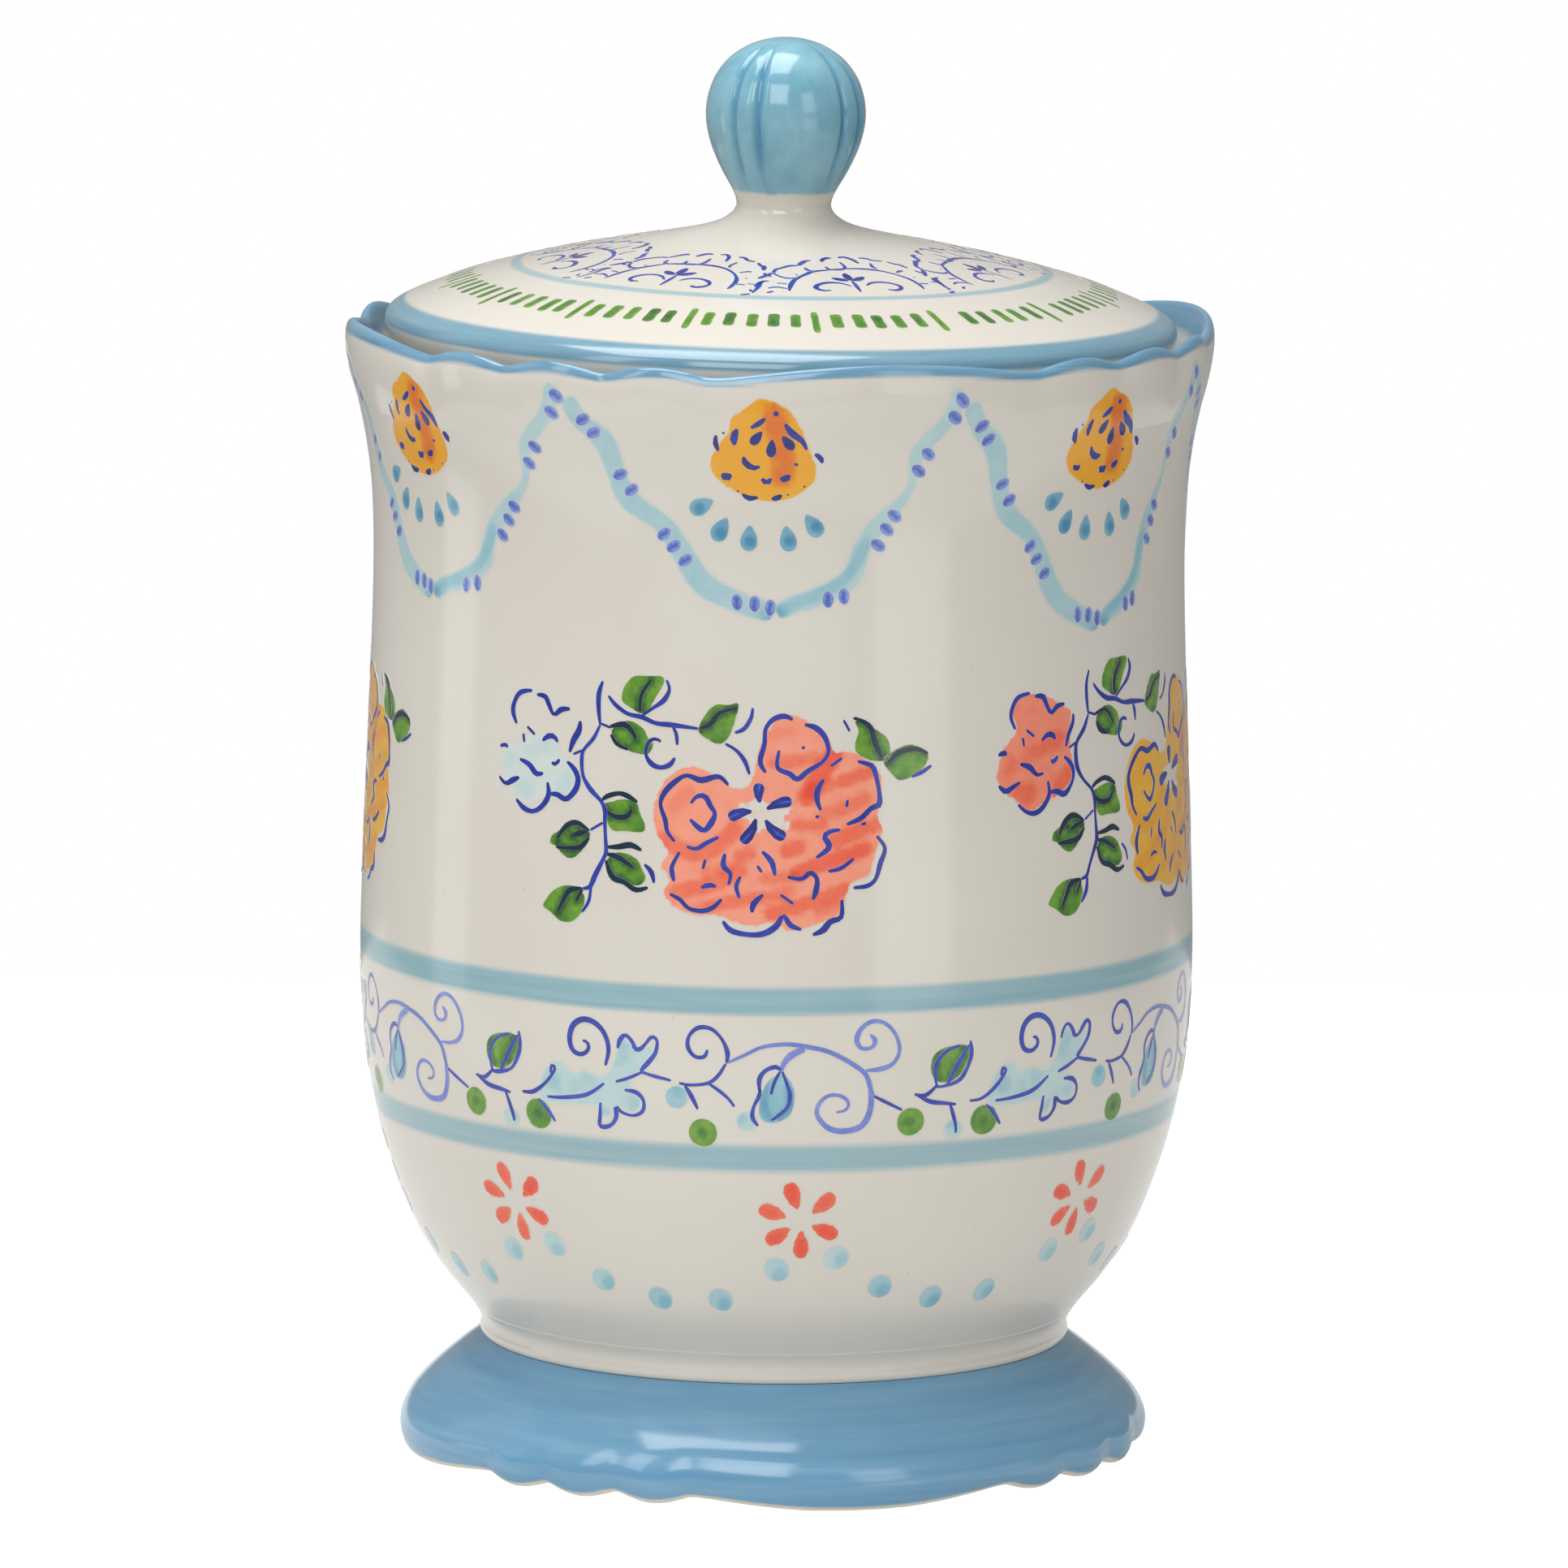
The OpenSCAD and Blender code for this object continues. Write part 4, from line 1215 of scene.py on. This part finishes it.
leaves = [
    # outline, then its veins
    ([(14.7, 154.4), (17.8, 153), (21, 150.8), (21.8, 148.3), (21, 146.3), (18, 146.3), (15.5, 147.5),
      (14.7, 149.2), (15.4, 152)],
     [[(14.5, 154.6), (17.6, 153), (18.8, 149.6), (20, 146.7)]]),
    ([(20.3, 146.3), (22.6, 148.3), (25.7, 149.2), (28.4, 148.3), (29.5, 146.7), (28, 144.2),
      (24, 142.3), (21.8, 143.8)],
     [[(21, 145.6), (23.4, 147.7), (26.8, 148.3), (29.3, 147.3)]]),
    ([(-15.3, 152), (-14, 155), (-12, 157), (-9.5, 157), (-7.5, 157.4), (-8, 154.2), (-9.3, 150.8),
      (-11.2, 149.4), (-13.7, 150.4)],
     [[(-15, 152.3), (-12.8, 153.3), (-11.2, 155.4), (-7.6, 156.5)]]),
    ([(-30.7, 157), (-30.2, 159.6), (-28.2, 161.8), (-25.4, 162), (-22.5, 162), (-22, 160.7),
      (-23.6, 158), (-25, 155.4), (-26.6, 154.6), (-29, 155.7)],
     [[(-26.8, 155), (-26.6, 158.2), (-24.6, 161.3)]]),
    ([(-32.7, 151), (-31, 152.7), (-28.6, 153.2), (-26, 151.8), (-25, 150), (-24, 149), (-25, 147),
      (-27.5, 147), (-30.7, 148), (-32, 149.3)],
     [[(-33, 151.8), (-30, 152.4), (-28.2, 151), (-27.5, 149.5)],
      [(-32.7, 150.4), (-31.4, 148.6), (-29, 147.7)]]),
    ([(-34, 136.8), (-32, 137.7), (-29.6, 138.2), (-27, 137.5), (-26.4, 135.7), (-25.3, 133.2),
      (-26, 132), (-29.3, 132), (-32, 132), (-33.4, 134)],
     [[(-33.6, 136), (-31.8, 134.8), (-29.3, 134.8), (-28, 136.3)],
      [(-34.3, 137.7), (-33, 138.6), (-30.7, 139.2), (-29, 138.8), (-27, 137.7)]]),
    ([(-45.5, 128.6), (-45, 130.2), (-43.2, 131.4), (-41.8, 133), (-39.3, 133), (-37, 131.8),
      (-36.6, 130.4), (-38, 128), (-40.4, 126), (-42.5, 126.6), (-44, 128)],
     [[(-43.8, 129.6), (-42, 132), (-39.6, 133), (-36.8, 131.6)],
      [(-40.7, 130.4), (-39, 131), (-37, 131.6)],
      [(-44, 128), (-41.4, 128), (-38.6, 128.4), (-36.8, 130.4)]]),
    ([(-33.2, 126), (-31.8, 127.7), (-29.6, 128), (-27, 127), (-25.7, 125), (-25, 123.2),
      (-26.4, 121.8), (-29.3, 122), (-31.8, 122.5), (-33, 124)],
     [[(-33.2, 127.5), (-30.7, 127), (-27.5, 125.2)],
      [(-33.2, 126.3), (-31.8, 123.2), (-29.3, 122.3), (-27, 121), (-24.6, 121.6)],
      [(-33, 128.8), (-30.7, 129), (-28.2, 129.5), (-26, 128.6)]]),
    ([(-46.7, 116.4), (-45.7, 118.2), (-44, 120), (-41, 121), (-38.6, 120.4), (-37.4, 118.6),
      (-38.2, 115.7), (-40, 114), (-42.5, 113.8), (-45, 115.4)],
     [[(-43.2, 115.7), (-42, 118), (-40.7, 120), (-38, 120.5)], [(-39.3, 118), (-38, 120.3)]]),
]
vine = [[(-34.6, 160.4), (-35.4, 158), (-35.4, 155), (-35, 152)],
        [(-35, 152), (-36.4, 149.3), (-38.4, 147), (-38.8, 145), (-38.4, 142), (-36.8, 139.6),
         (-34.5, 137.5), (-33.6, 135.7), (-33.6, 133.6), (-33.4, 130.7), (-33.2, 128), (-33.6, 126.8),
         (-35.4, 123.2), (-36.4, 121), (-38, 120.5)],
        [(-38.4, 147), (-40.7, 146)], [(-36.2, 121), (-36.6, 118.2), (-38, 116)],
        [(-33.4, 157.7), (-31.8, 156), (-29.3, 154.5), (-26.4, 154), (-23.6, 153), (-20.4, 152.8),
         (-15.2, 152.3)],
        [(-20.2, 152.5), (-19.5, 151), (-19.3, 149)],
        [(-22.5, 149.5), (-23.6, 150), (-25, 149.3), (-25.5, 147), (-24.3, 145.2), (-22.5, 144.6),
         (-20.7, 145.2), (-19.7, 146.6)],
        [(-26.4, 154.3), (-24, 156), (-22, 157.5), (-21, 159.6), (-21.6, 161.3)],
        [(-35, 152.3), (-32.7, 151.6)], [(-36.6, 131.8), (-34, 133.4)],
        [(-25.4, 126), (-24, 124.6), (-23.4, 122.5)],
        [(-8.2, 151.7), (-6.4, 152.5), (-5.1, 154.6), (-4.8, 156.5)],
        [(-10, 149.6), (-7.8, 148.3), (-6.2, 146.3), (-5.3, 143.8)], [(12.6, 154.2), (13.8, 152)],
        [(25.9, 143), (28, 143.8), (30, 145)]]
smallFlower = {
    "lines": [[(-54, 150.7), (-55, 153), (-54.6, 155), (-53.2, 156.8), (-50.4, 157.4)],
              [(-49.3, 156.7), (-47.3, 156.5), (-46.4, 155), (-45.2, 153.2), (-43.6, 154.3),
               (-41.6, 154.6)],
              [(-39.3, 152.5), (-39.5, 150.7), (-40.7, 148.6), (-41.5, 146.3)],
              [(-51.4, 150.4), (-49.5, 149)], [(-52.3, 149), (-52, 147.3)],
              [(-47.7, 148), (-46.4, 149), (-45, 149), (-44.2, 148)],
              [(-58, 146), (-56.8, 146.4), (-56, 146)],
              [(-53, 144), (-50.7, 143.2), (-49, 141.6), (-47.3, 141.8)],
              [(-45.5, 144), (-44.5, 143.8), (-43.7, 144.8)],
              [(-58, 140.2), (-56.4, 139), (-54.6, 139.8), (-53, 140.5)],
              [(-53.6, 136.3), (-51.8, 134.8), (-49.6, 134.3), (-47.5, 135.4), (-46, 137.7),
               (-46.3, 140.2)],
              [(-46, 138), (-44, 138), (-42, 137.3), (-40, 139.3), (-39.5, 141.4), (-40.4, 143.2),
               (-42, 144.5)]],
    "mist": [(-58, 141), (-54, 137), (-51, 135.4), (-47, 137), (-43.6, 137), (-40, 140), (-40.4, 143.4),
             (-43, 146.4), (-46, 149.6), (-50, 149.4), (-53.4, 147.4), (-57.4, 146)],
    "coral": [(-58.4, 141), (-54, 136.6), (-51, 134.6), (-47, 135.6), (-43.6, 137), (-39.6, 140),
              (-39.6, 144), (-40, 149), (-39.6, 153), (-43, 155), (-47, 157), (-52, 157.4),
              (-55, 154.6), (-54, 150.6), (-57, 147)],
    "coats": [([(-43, 138.4), (-41.4, 141)], 3.4, 0.3), ([(-53, 138.6), (-50.6, 138.4)], 3.4, 0.3),
              ([(-46, 147), (-43.4, 148)], 3.4, 0.24), ([(-51, 145.6), (-48.6, 146.4)], 3, 0.2),
              ([(-56, 143), (-54.6, 144)], 2.6, 0.16)],
}


def paintSpray(number, angle, bigColour, smallColour):
    x = math.radians(angle) * brush["wrapRadius"] - spray["eye"]
    tag = "spray" + str(number)
    washTone = 0.15 if bigColour == "coral" else 0.1

    def drawPeony(pile):
        coats = shiftedDabs(peony["coats"], x)
        wash(pile, shifted(peony["outline"], x), tone=washTone, grain=0.9, soft=1.0, dabs=coats,
             holes=[shifted(peony["eyeHole"], x)])

    def drawSmall(pile):
        wash(pile, shifted(smallFlower[smallColour], x), tone=0.12 if smallColour == "mist" else 0.3,
             soft=2.4 if smallColour == "mist" else 1.2, dabs=shiftedDabs(smallFlower["coats"], x))

    def drawLeaves(pile):
        for outline, veins in leaves:
            coats = [(shifted(vein, x), 1.8, 0.5) for vein in veins]
            low = min(outline, key=lambda p: p[1])
            coats.append(([(low[0] + x, low[1])], 3, 0.3))
            wash(pile, shifted(outline, x), tone=0.4, grain=0.8, soft=0.45, dabs=coats)

    def drawLines(pile):
        for path, width in peony["petals"]:
            paler = [(shifted(path[1:], x), 0.5, -0.9)]
            stroke(pile, shifted(path, x), width, tone=0.85, columns=6, dabs=paler)
        for path in peony["lines"] + smallFlower["lines"]:
            stroke(pile, shifted(path, x), 1.0, tone=0.62, taper=0.6)
        for path in vine:
            stroke(pile, shifted(path, x), 0.85, tone=0.56, taper=0.6)

    def drawVeins(pile):
        for _, veins in leaves:
            for vein in veins:
                stroke(pile, shifted(vein, x), 1.0, tone=0.6, taper=0.6)

    paintPiece(tag + "_peony", bigColour, drawPeony)
    paintPiece(tag + "_small_flower", smallColour, drawSmall)
    paintPiece(tag + "_leaves", "green", drawLeaves)
    paintPiece(tag + "_leaf_veins", "vein", drawVeins)
    paintPiece(tag + "_outlines", "cobalt", drawLines)


for number, (angle, bigColour, smallColour) in enumerate(spray["stations"], 1):
    paintSpray(number, angle, bigColour, smallColour)
print("flower sprays painted:", len(spray["stations"]))

# scrolling vine between the two blue bands

scroll = {
    "buds": [-65, 0, 63.6, 121.5, 179.5, 237],      # degrees
    "pitch": 88.8,                                   # mm from bud to bud, as drawn
    "fine": [[(-9.2, 88.5), (-9, 90.5), (-10, 93), (-12, 95), (-14.5, 95.2), (-16.3, 93.5),
              (-16.5, 91.3), (-15.2, 89.6), (-13.4, 89.6), (-12.8, 91)],
             [(-18.3, 84.3), (-16, 84), (-12.7, 84.5), (-10.8, 86), (-9.3, 88.4)],
             [(-17.2, 83.9), (-16, 82), (-14.7, 79.3)],
             [(-12.7, 84.5), (-10.5, 83), (-8.8, 81.5), (-7.7, 80)],
             [(-2.9, 83), (-3, 85.5), (-1.8, 87.2), (0, 87.9), (1.1, 87.3)],
             [(0.9, 87), (-0.2, 84.8), (-0.8, 82.5)],
             [(1.3, 87), (2.2, 84.6), (2.8, 82.3), (2.3, 80), (0.6, 78.4), (-0.7, 77.4)],
             [(-2.8, 83.6), (-3.1, 82), (-4, 80.2), (-4.3, 78), (-3.2, 76.3)],
             [(18.8, 82), (21, 80.8), (24.5, 79)],
             [(38, 91.8), (38.3, 89.5), (37.7, 87), (36, 84.3), (33, 83.3), (31, 83.2)],
             [(36, 91), (33, 90), (31, 87.5), (31, 84.6), (31.5, 83)],
             [(37.8, 91), (36, 88.2), (34.5, 85.6), (33.3, 83.4)],
             [(26.8, 82), (28.8, 81.6), (30.4, 82.6), (31.2, 83.5)],
             [(27.4, 81.8), (30, 80.4), (33, 79.9), (35.5, 79.5)],
             [(34.2, 79.7), (35, 77.5), (35.7, 75.2), (35.8, 73.8)], [(42, 79), (44, 77), (45.5, 74.8)],
             [(59.1, 90.3), (59.6, 92), (60.7, 93), (62, 91.8), (62.6, 90.5), (63.6, 90.5),
              (64.6, 91.6), (65.8, 93), (66.8, 92.3), (66.5, 90), (65.1, 88), (63.7, 86.3),
              (64.6, 85.8), (66.6, 85.3), (69.4, 84.7)],
             [(58.6, 83.8), (61.2, 84.7), (63.8, 86)],
             [(60.3, 82.3), (62.6, 82), (64, 80.5), (63.8, 78.4), (62, 77.4), (59.8, 77.8),
              (58.5, 78.8), (58.5, 77), (57.6, 75.4), (56.1, 74.7), (55, 75), (55.2, 77), (55.4, 79.5)],
             [(38.3, 80), (41, 80.3), (44, 82.5), (46, 85.2), (45.3, 85.8), (45, 84.3)],
             [(44, 79.6), (47.6, 79.8), (52.6, 80.8), (56.3, 83.3)]],
    "spiral": [(56.6, 86.8), (57.3, 90), (56.5, 93), (54.5, 95), (52, 95.4), (50, 94), (49.3, 91.4),
               (50, 89.2), (51.8, 88.6), (53.2, 89.7), (53, 91), (52, 91.3)],
    "spiralWidths": [0.6, 0.9, 1, 1.1, 1.2, 1.2, 1.1, 1, 0.9, 0.8, 0.7, 0.5],
    # path, width or widths, tone, layer
    "broad": [([(-9.2, 88.5), (-6, 90), (-2.5, 91.7), (2, 92.3), (6, 91.8), (10, 90.8), (14, 88.7),
                (17, 86.4), (17.9, 84), (18.7, 82)],
               [0.5, 0.7, 0.8, 0.9, 1, 1, 1, 1, 0.9, 0.8], 0.6, 2),
              ([(5.6, 91.5), (3, 90.2), (1.6, 88.6), (0.9, 86.6)], [1.4, 1.5, 1.1, 0.8], 0.4, 2),
              ([(17, 87), (20, 87.2), (22.4, 88.2), (23.6, 90.6), (22.9, 93.6), (20.8, 96),
                (18.2, 96.5), (16, 95), (15.3, 92.8), (16.3, 91.3), (18.3, 91.5), (18.8, 92.9),
                (17.8, 94)],
               0.95, 0.4, 1),
              ([(17.7, 85.6), (18.3, 82), (18, 78.6), (16.4, 76), (13, 75.2), (10, 76), (8, 78.5),
                (8.4, 80.8), (10.2, 82.3), (12.6, 82.1), (14, 80.7), (13.3, 79.3), (11.6, 79)],
               [0.9, 1.2, 1.35, 1.35, 1.3, 1.2, 1, 0.9, 0.8, 0.8, 0.7, 0.6, 0.5], 0.36, 1)],
    "leaf": [(31, 90), (34.6, 91.2), (37.6, 90.8), (37.9, 88.6), (36.2, 85.3), (33.6, 83.8),
             (30.8, 84.6), (29.8, 87.4)],
    "bud": [(-0.6, 86), (1.6, 86.6), (3.4, 84.4), (3.8, 81), (2.6, 78), (0, 76.8), (-2.6, 77.4),
            (-3.2, 80), (-2.4, 83.6)],
    "acanthus": [(42.8, 78.6), (42, 81.6), (44.6, 86.4), (47.8, 87), (49.6, 85), (52.4, 85.8), (56, 85),
                 (58.2, 88), (59.4, 92.6), (61.6, 92), (63.2, 90.2), (66, 92.2), (66, 89.4),
                 (63.6, 86.2), (61.6, 84), (63.4, 81.4), (63.6, 78.8), (61.4, 77.6), (58.6, 78.6),
                 (57, 75.8), (55.4, 75.6), (54.6, 78.4), (49, 78.2)],
    "leafCoats": [([(31.4, 90), (31, 87), (31.6, 84.6)], 1.6, 0.4),
                  ([(37, 90.4), (35.6, 87.4), (34, 84.8)], 1.8, 0.5)],
    "budCoats": [([(-1.6, 84), (-2, 80), (-1, 78)], 1.6, 0.3),
                 ([(2.6, 84), (2.8, 80), (1, 78)], 1.6, 0.35)],
    "acanthusCoats": [([(45.6, 82.6)], 3.6, 0.3), ([(59, 88), (60.4, 90.4)], 2.6, 0.2),
                      ([(62, 80)], 2.6, 0.2), ([(56.4, 77.4)], 2.4, 0.25), ([(53.4, 83.6)], 3, 0.16),
                      ([(49.6, 82)], 3, 0.14)],
    # across, up and radius in mm, and how much paint a drop holds
    "berries": [(-13.8, 74.7, 2.7), (26.3, 76.6, 2.7), (41.8, 76, 2.9)],
    "drops": [(-5.4, 77.2, 2.0, -0.25), (35.2, 74.6, 2.0, -0.2), (70.4, 81.5, 2.3, 0.05)],
}


def scrollUnits():
    buds = scroll["buds"]
    for i, bud in enumerate(buds):
        after = buds[i + 1] if i + 1 < len(buds) else buds[0] + 360
        wide = math.radians(after - bud) * brush["wrapRadius"] / scroll["pitch"]
        yield math.radians(bud) * brush["wrapRadius"], wide


def drawScrollLines(pile):
    for x, wide in scrollUnits():
        for path in scroll["fine"]:
            stroke(pile, shifted(path, x, 0, wide), 0.78, tone=0.42, taper=0.65)
        stroke(pile, shifted(scroll["spiral"], x, 0, wide), scroll["spiralWidths"], tone=0.45)


def drawScrollBroad(pile):
    for x, wide in scrollUnits():
        for path, width, tone, layer in scroll["broad"]:
            stroke(pile, shifted(path, x, 0, wide), width, tone=tone, layer=layer)


def drawScrollLeaves(pile):
    for x, wide in scrollUnits():
        coats = shiftedDabs(scroll["leafCoats"], x, 0, wide)
        wash(pile, shifted(scroll["leaf"], x, 0, wide), tone=0.36, grain=0.8, soft=0.5, dabs=coats)


def drawScrollWashes(pile):
    for x, wide in scrollUnits():
        folds = shiftedDabs(scroll["budCoats"], x, 0, wide)
        wash(pile, shifted(scroll["bud"], x, 0, wide), tone=0.5, grain=0.8, soft=0.8, dabs=folds)
        pools = shiftedDabs(scroll["acanthusCoats"], x, 0, wide)
        wash(pile, shifted(scroll["acanthus"], x, 0, wide), tone=0.05, soft=2.0, dabs=pools)


berrySpots = [(x + u * wide, z, shake.uniform(0, 360), r, r, shake.uniform(-0.08, 0.08))
              for x, wide in scrollUnits() for u, z, r in scroll["berries"]]
dropSpots = [(x + u * wide, z, shake.uniform(0, 360), r, r, load)
             for x, wide in scrollUnits() for u, z, r, load in scroll["drops"]]
paintPiece("vine_washes", "blue", drawScrollWashes)
paintPiece("vine_leaves", "green", drawScrollLeaves)
paintPiece("vine_scrolls", "violet", drawScrollBroad)
paintPiece("vine_lines", "cobalt", drawScrollLines)
stampPiece("vine_berries", "green", oval(2.1, 2.1), berrySpots, tone=0.42, soft=0.15, grain=0.3,
           dabs=[([(0.1, 0)], 0.7, 0.35)])
stampPiece("vine_drops", "blue", oval(2, 2), dropSpots, tone=0.3, soft=0.3, grain=0.3,
           dabs=[([(0.4, 0.2)], 0.9, 0.2)])
print("vine band painted")

# six-petal flowers and dabs on the lower belly

belly = {
    "flowers": [-40.8, 4, 51, 97, 141, 185, 229, 274],         # degrees
    "height": 57,                                              # mm
    "petals": [(-2, 5.6), (4.4, 3.8), (5, -2), (0, -5), (-5, -3), (-6.3, 2)],
    "dabs": [(-5, 47, -0.12), (7.5, 49.4, -0.15), (18, 43, 0), (31, 40, 0.05), (45, 40.3, 0)],
}
petalSpots, dabSpots = [], []
for flower in belly["flowers"]:
    middle = math.radians(flower) * brush["wrapRadius"]
    for u, v in belly["petals"]:
        aim = math.degrees(math.atan2(v, u)) + 90
        load = shake.uniform(-0.1, 0.15)
        petalSpots.append((middle + u * 0.94, belly["height"] + v * 0.94, aim, 1.06, 1.2, load))
    for u, z, load in belly["dabs"]:
        dabSpots.append((middle + u, z, shake.uniform(-25, 25), 1, 1, load + shake.uniform(-0.05, 0.05)))
stampPiece("belly_petals", "coral", tear, petalSpots, tone=0.62, soft=0.4,
           dabs=[([(0, -1.2), (0, 0)], 1.6, 0.2)])
stampPiece("belly_dabs", "blue", oval(5.8, 5), dabSpots, tone=0.22, soft=0.8,
           dabs=[([(1.1, -0.9)], 3.2, 0.28)])
print("lower belly painted")

# the lid: a ring of lace and green dashes

lace = {
    "centres": [-75, -29, 18, 66, 111, 156, 201, 244],          # degrees
    # points are (degrees from the unit's middle, radius)
    "rim": [[(-24.5, 41.4), (-22.6, 39.6), (-21, 37.8)],
            [(-20.6, 37.8), (-20.2, 35.8), (-18, 34.4), (-15.6, 33.2), (-13, 33)],
            [(-12.8, 33), (-11.4, 31.4), (-9.6, 30), (-7.6, 30)],
            [(-4, 30.6), (-3, 29.3), (-1, 28.4), (1, 28.5)],
            [(4, 28.4), (6.4, 28), (8.6, 29.6), (9, 32)],
            [(12, 29), (14.6, 29.3), (16.4, 30.7), (19.4, 31.4)],
            [(20.6, 32), (21.8, 33.6), (23, 34.2), (23.2, 36.4)],
            [(23.8, 38), (24.6, 39.8), (26, 39.6)]],
    "bars": [[(-20.6, 38), (-18.8, 39.8), (-16.4, 40.8), (-14, 40.4)],
             [(-11, 34.2), (-10, 36), (-8, 36.4)],
             [(-4, 33.6), (-3, 35.4), (0.6, 35.4), (2.6, 34), (2.6, 31)],
             [(13.4, 32.2), (12, 34.6), (12.6, 35.6)], [(16.6, 38.4), (18.8, 37.6), (20, 37.6)],
             [(19.2, 41.4), (19.6, 41.6)], [(-19.4, 43.8), (-16.8, 44)],
             [(-21.4, 46.8), (-19.4, 46), (-16.8, 46.8)], [(17, 45), (20, 45.4)],
             [(-14.2, 38.4), (-13.8, 38.8)]],
    "arch": [[(-16.4, 48), (-16, 45), (-15, 42), (-13, 39.6), (-11, 38), (-9, 36.6), (-4, 35.6),
              (2, 35), (7, 35.2), (11, 36.2), (13.6, 37.6), (16, 40), (17.2, 43), (17, 46),
              (16.4, 48)]],
    "post": [[(-24.4, 46.4), (-24, 44.4), (-22.8, 42.8), (-21.4, 42.6)], [(-26.6, 44.5), (-24.4, 45)],
             [(24.4, 42.4), (23.4, 44), (23.4, 46), (22.4, 49.6)]],
    "drops": [[(-25.4, 47.8), (-24.8, 49)], [(-21.4, 49.4), (-20, 48.4)], [(-27, 51), (-25, 50.2)]],
    "wings": [[(0.2, 37.8), (0.1, 39.8), (0.3, 42)], [(-4.6, 40.4), (-2.6, 41.4), (-0.4, 42)],
              [(4.8, 40), (2.8, 41.2), (0.6, 42.2)]],
    "curls": [[(0.4, 42), (0.3, 45), (0.1, 48.4)],
              [(-1, 45.2), (-3, 43.5), (-6, 43), (-8.6, 43.9), (-9.9, 45.4), (-9.6, 46.8), (-8, 47.6),
               (-6.6, 47.2)],
              [(3, 45), (5, 43.5), (8, 43.3), (10.4, 44.4), (11.4, 46), (10.4, 47.5), (8.6, 48),
               (7.2, 47.3)]],
    # in the order they are painted: group, width, tone, layer, taper
    "strokes": [("rim", 0.95, 0.5, 2, 0.7), ("bars", 0.7, 0.45, 2, 0.7), ("arch", 0.8, 0.5, 1, 0.5),
                ("post", 0.85, 0.5, 1, 0.5), ("curls", 0.85, 0.5, 1, 0.5), ("drops", 1.3, 0.6, 2, 0.5),
                ("wings", [0.6, 1.9, 0.8], 0.75, 2, 0.5)],
}
dashes = {
    "starts": [-56.5, -34.7, -12.7, 9.7, 34.7, 58.5, 81, 103, 125, 147.5, 170, 192, 214.5, 237, 259,
               281],
    "gaps": [0, 3.75, 7.4, 11.2, 14.9],
    "long": 18.6,
    "radius": 62.4,
}


def polar(path, centre):
    turned = [(r, math.radians(centre + a)) for a, r in path]
    return [(r * math.sin(a), -r * math.cos(a)) for r, a in turned]


def drawLace(pile):
    for centre in lace["centres"]:
        for group, width, tone, layer, taper in lace["strokes"]:
            for path in lace[group]:
                stroke(pile, polar(path, centre), width, tone=tone, layer=layer, taper=taper)


def dashSpots():
    spots = []
    for start in dashes["starts"]:
        for gap in dashes["gaps"]:
            angle = start + gap + shake.uniform(-0.25, 0.25)
            (x, y), = polar([(0, dashes["radius"] + shake.uniform(-0.25, 0.25))], angle)
            wide, long = shake.uniform(0.9, 1.1), shake.uniform(0.98, 1.08)
            spots.append((x, y, angle, wide, long, shake.uniform(-0.12, 0.15)))
        angle = start + dashes["long"]
        (x, y), = polar([(0, dashes["radius"] + 0.3)], angle)
        spots.append((x, y, angle, 0.68, 1.62, -0.12))
    return spots


paintPiece("lid_lace", "cobalt", drawLace, onLid=True)
stampPiece("lid_dashes", "green", dash, dashSpots(), onLid=True, tone=0.5, soft=0.5,
           dabs=[([(0, 1.4), (0, -1.4)], 1, 0.2)])
for spare in (sideStrip, topStrip):
    bpy.data.objects.remove(spare)
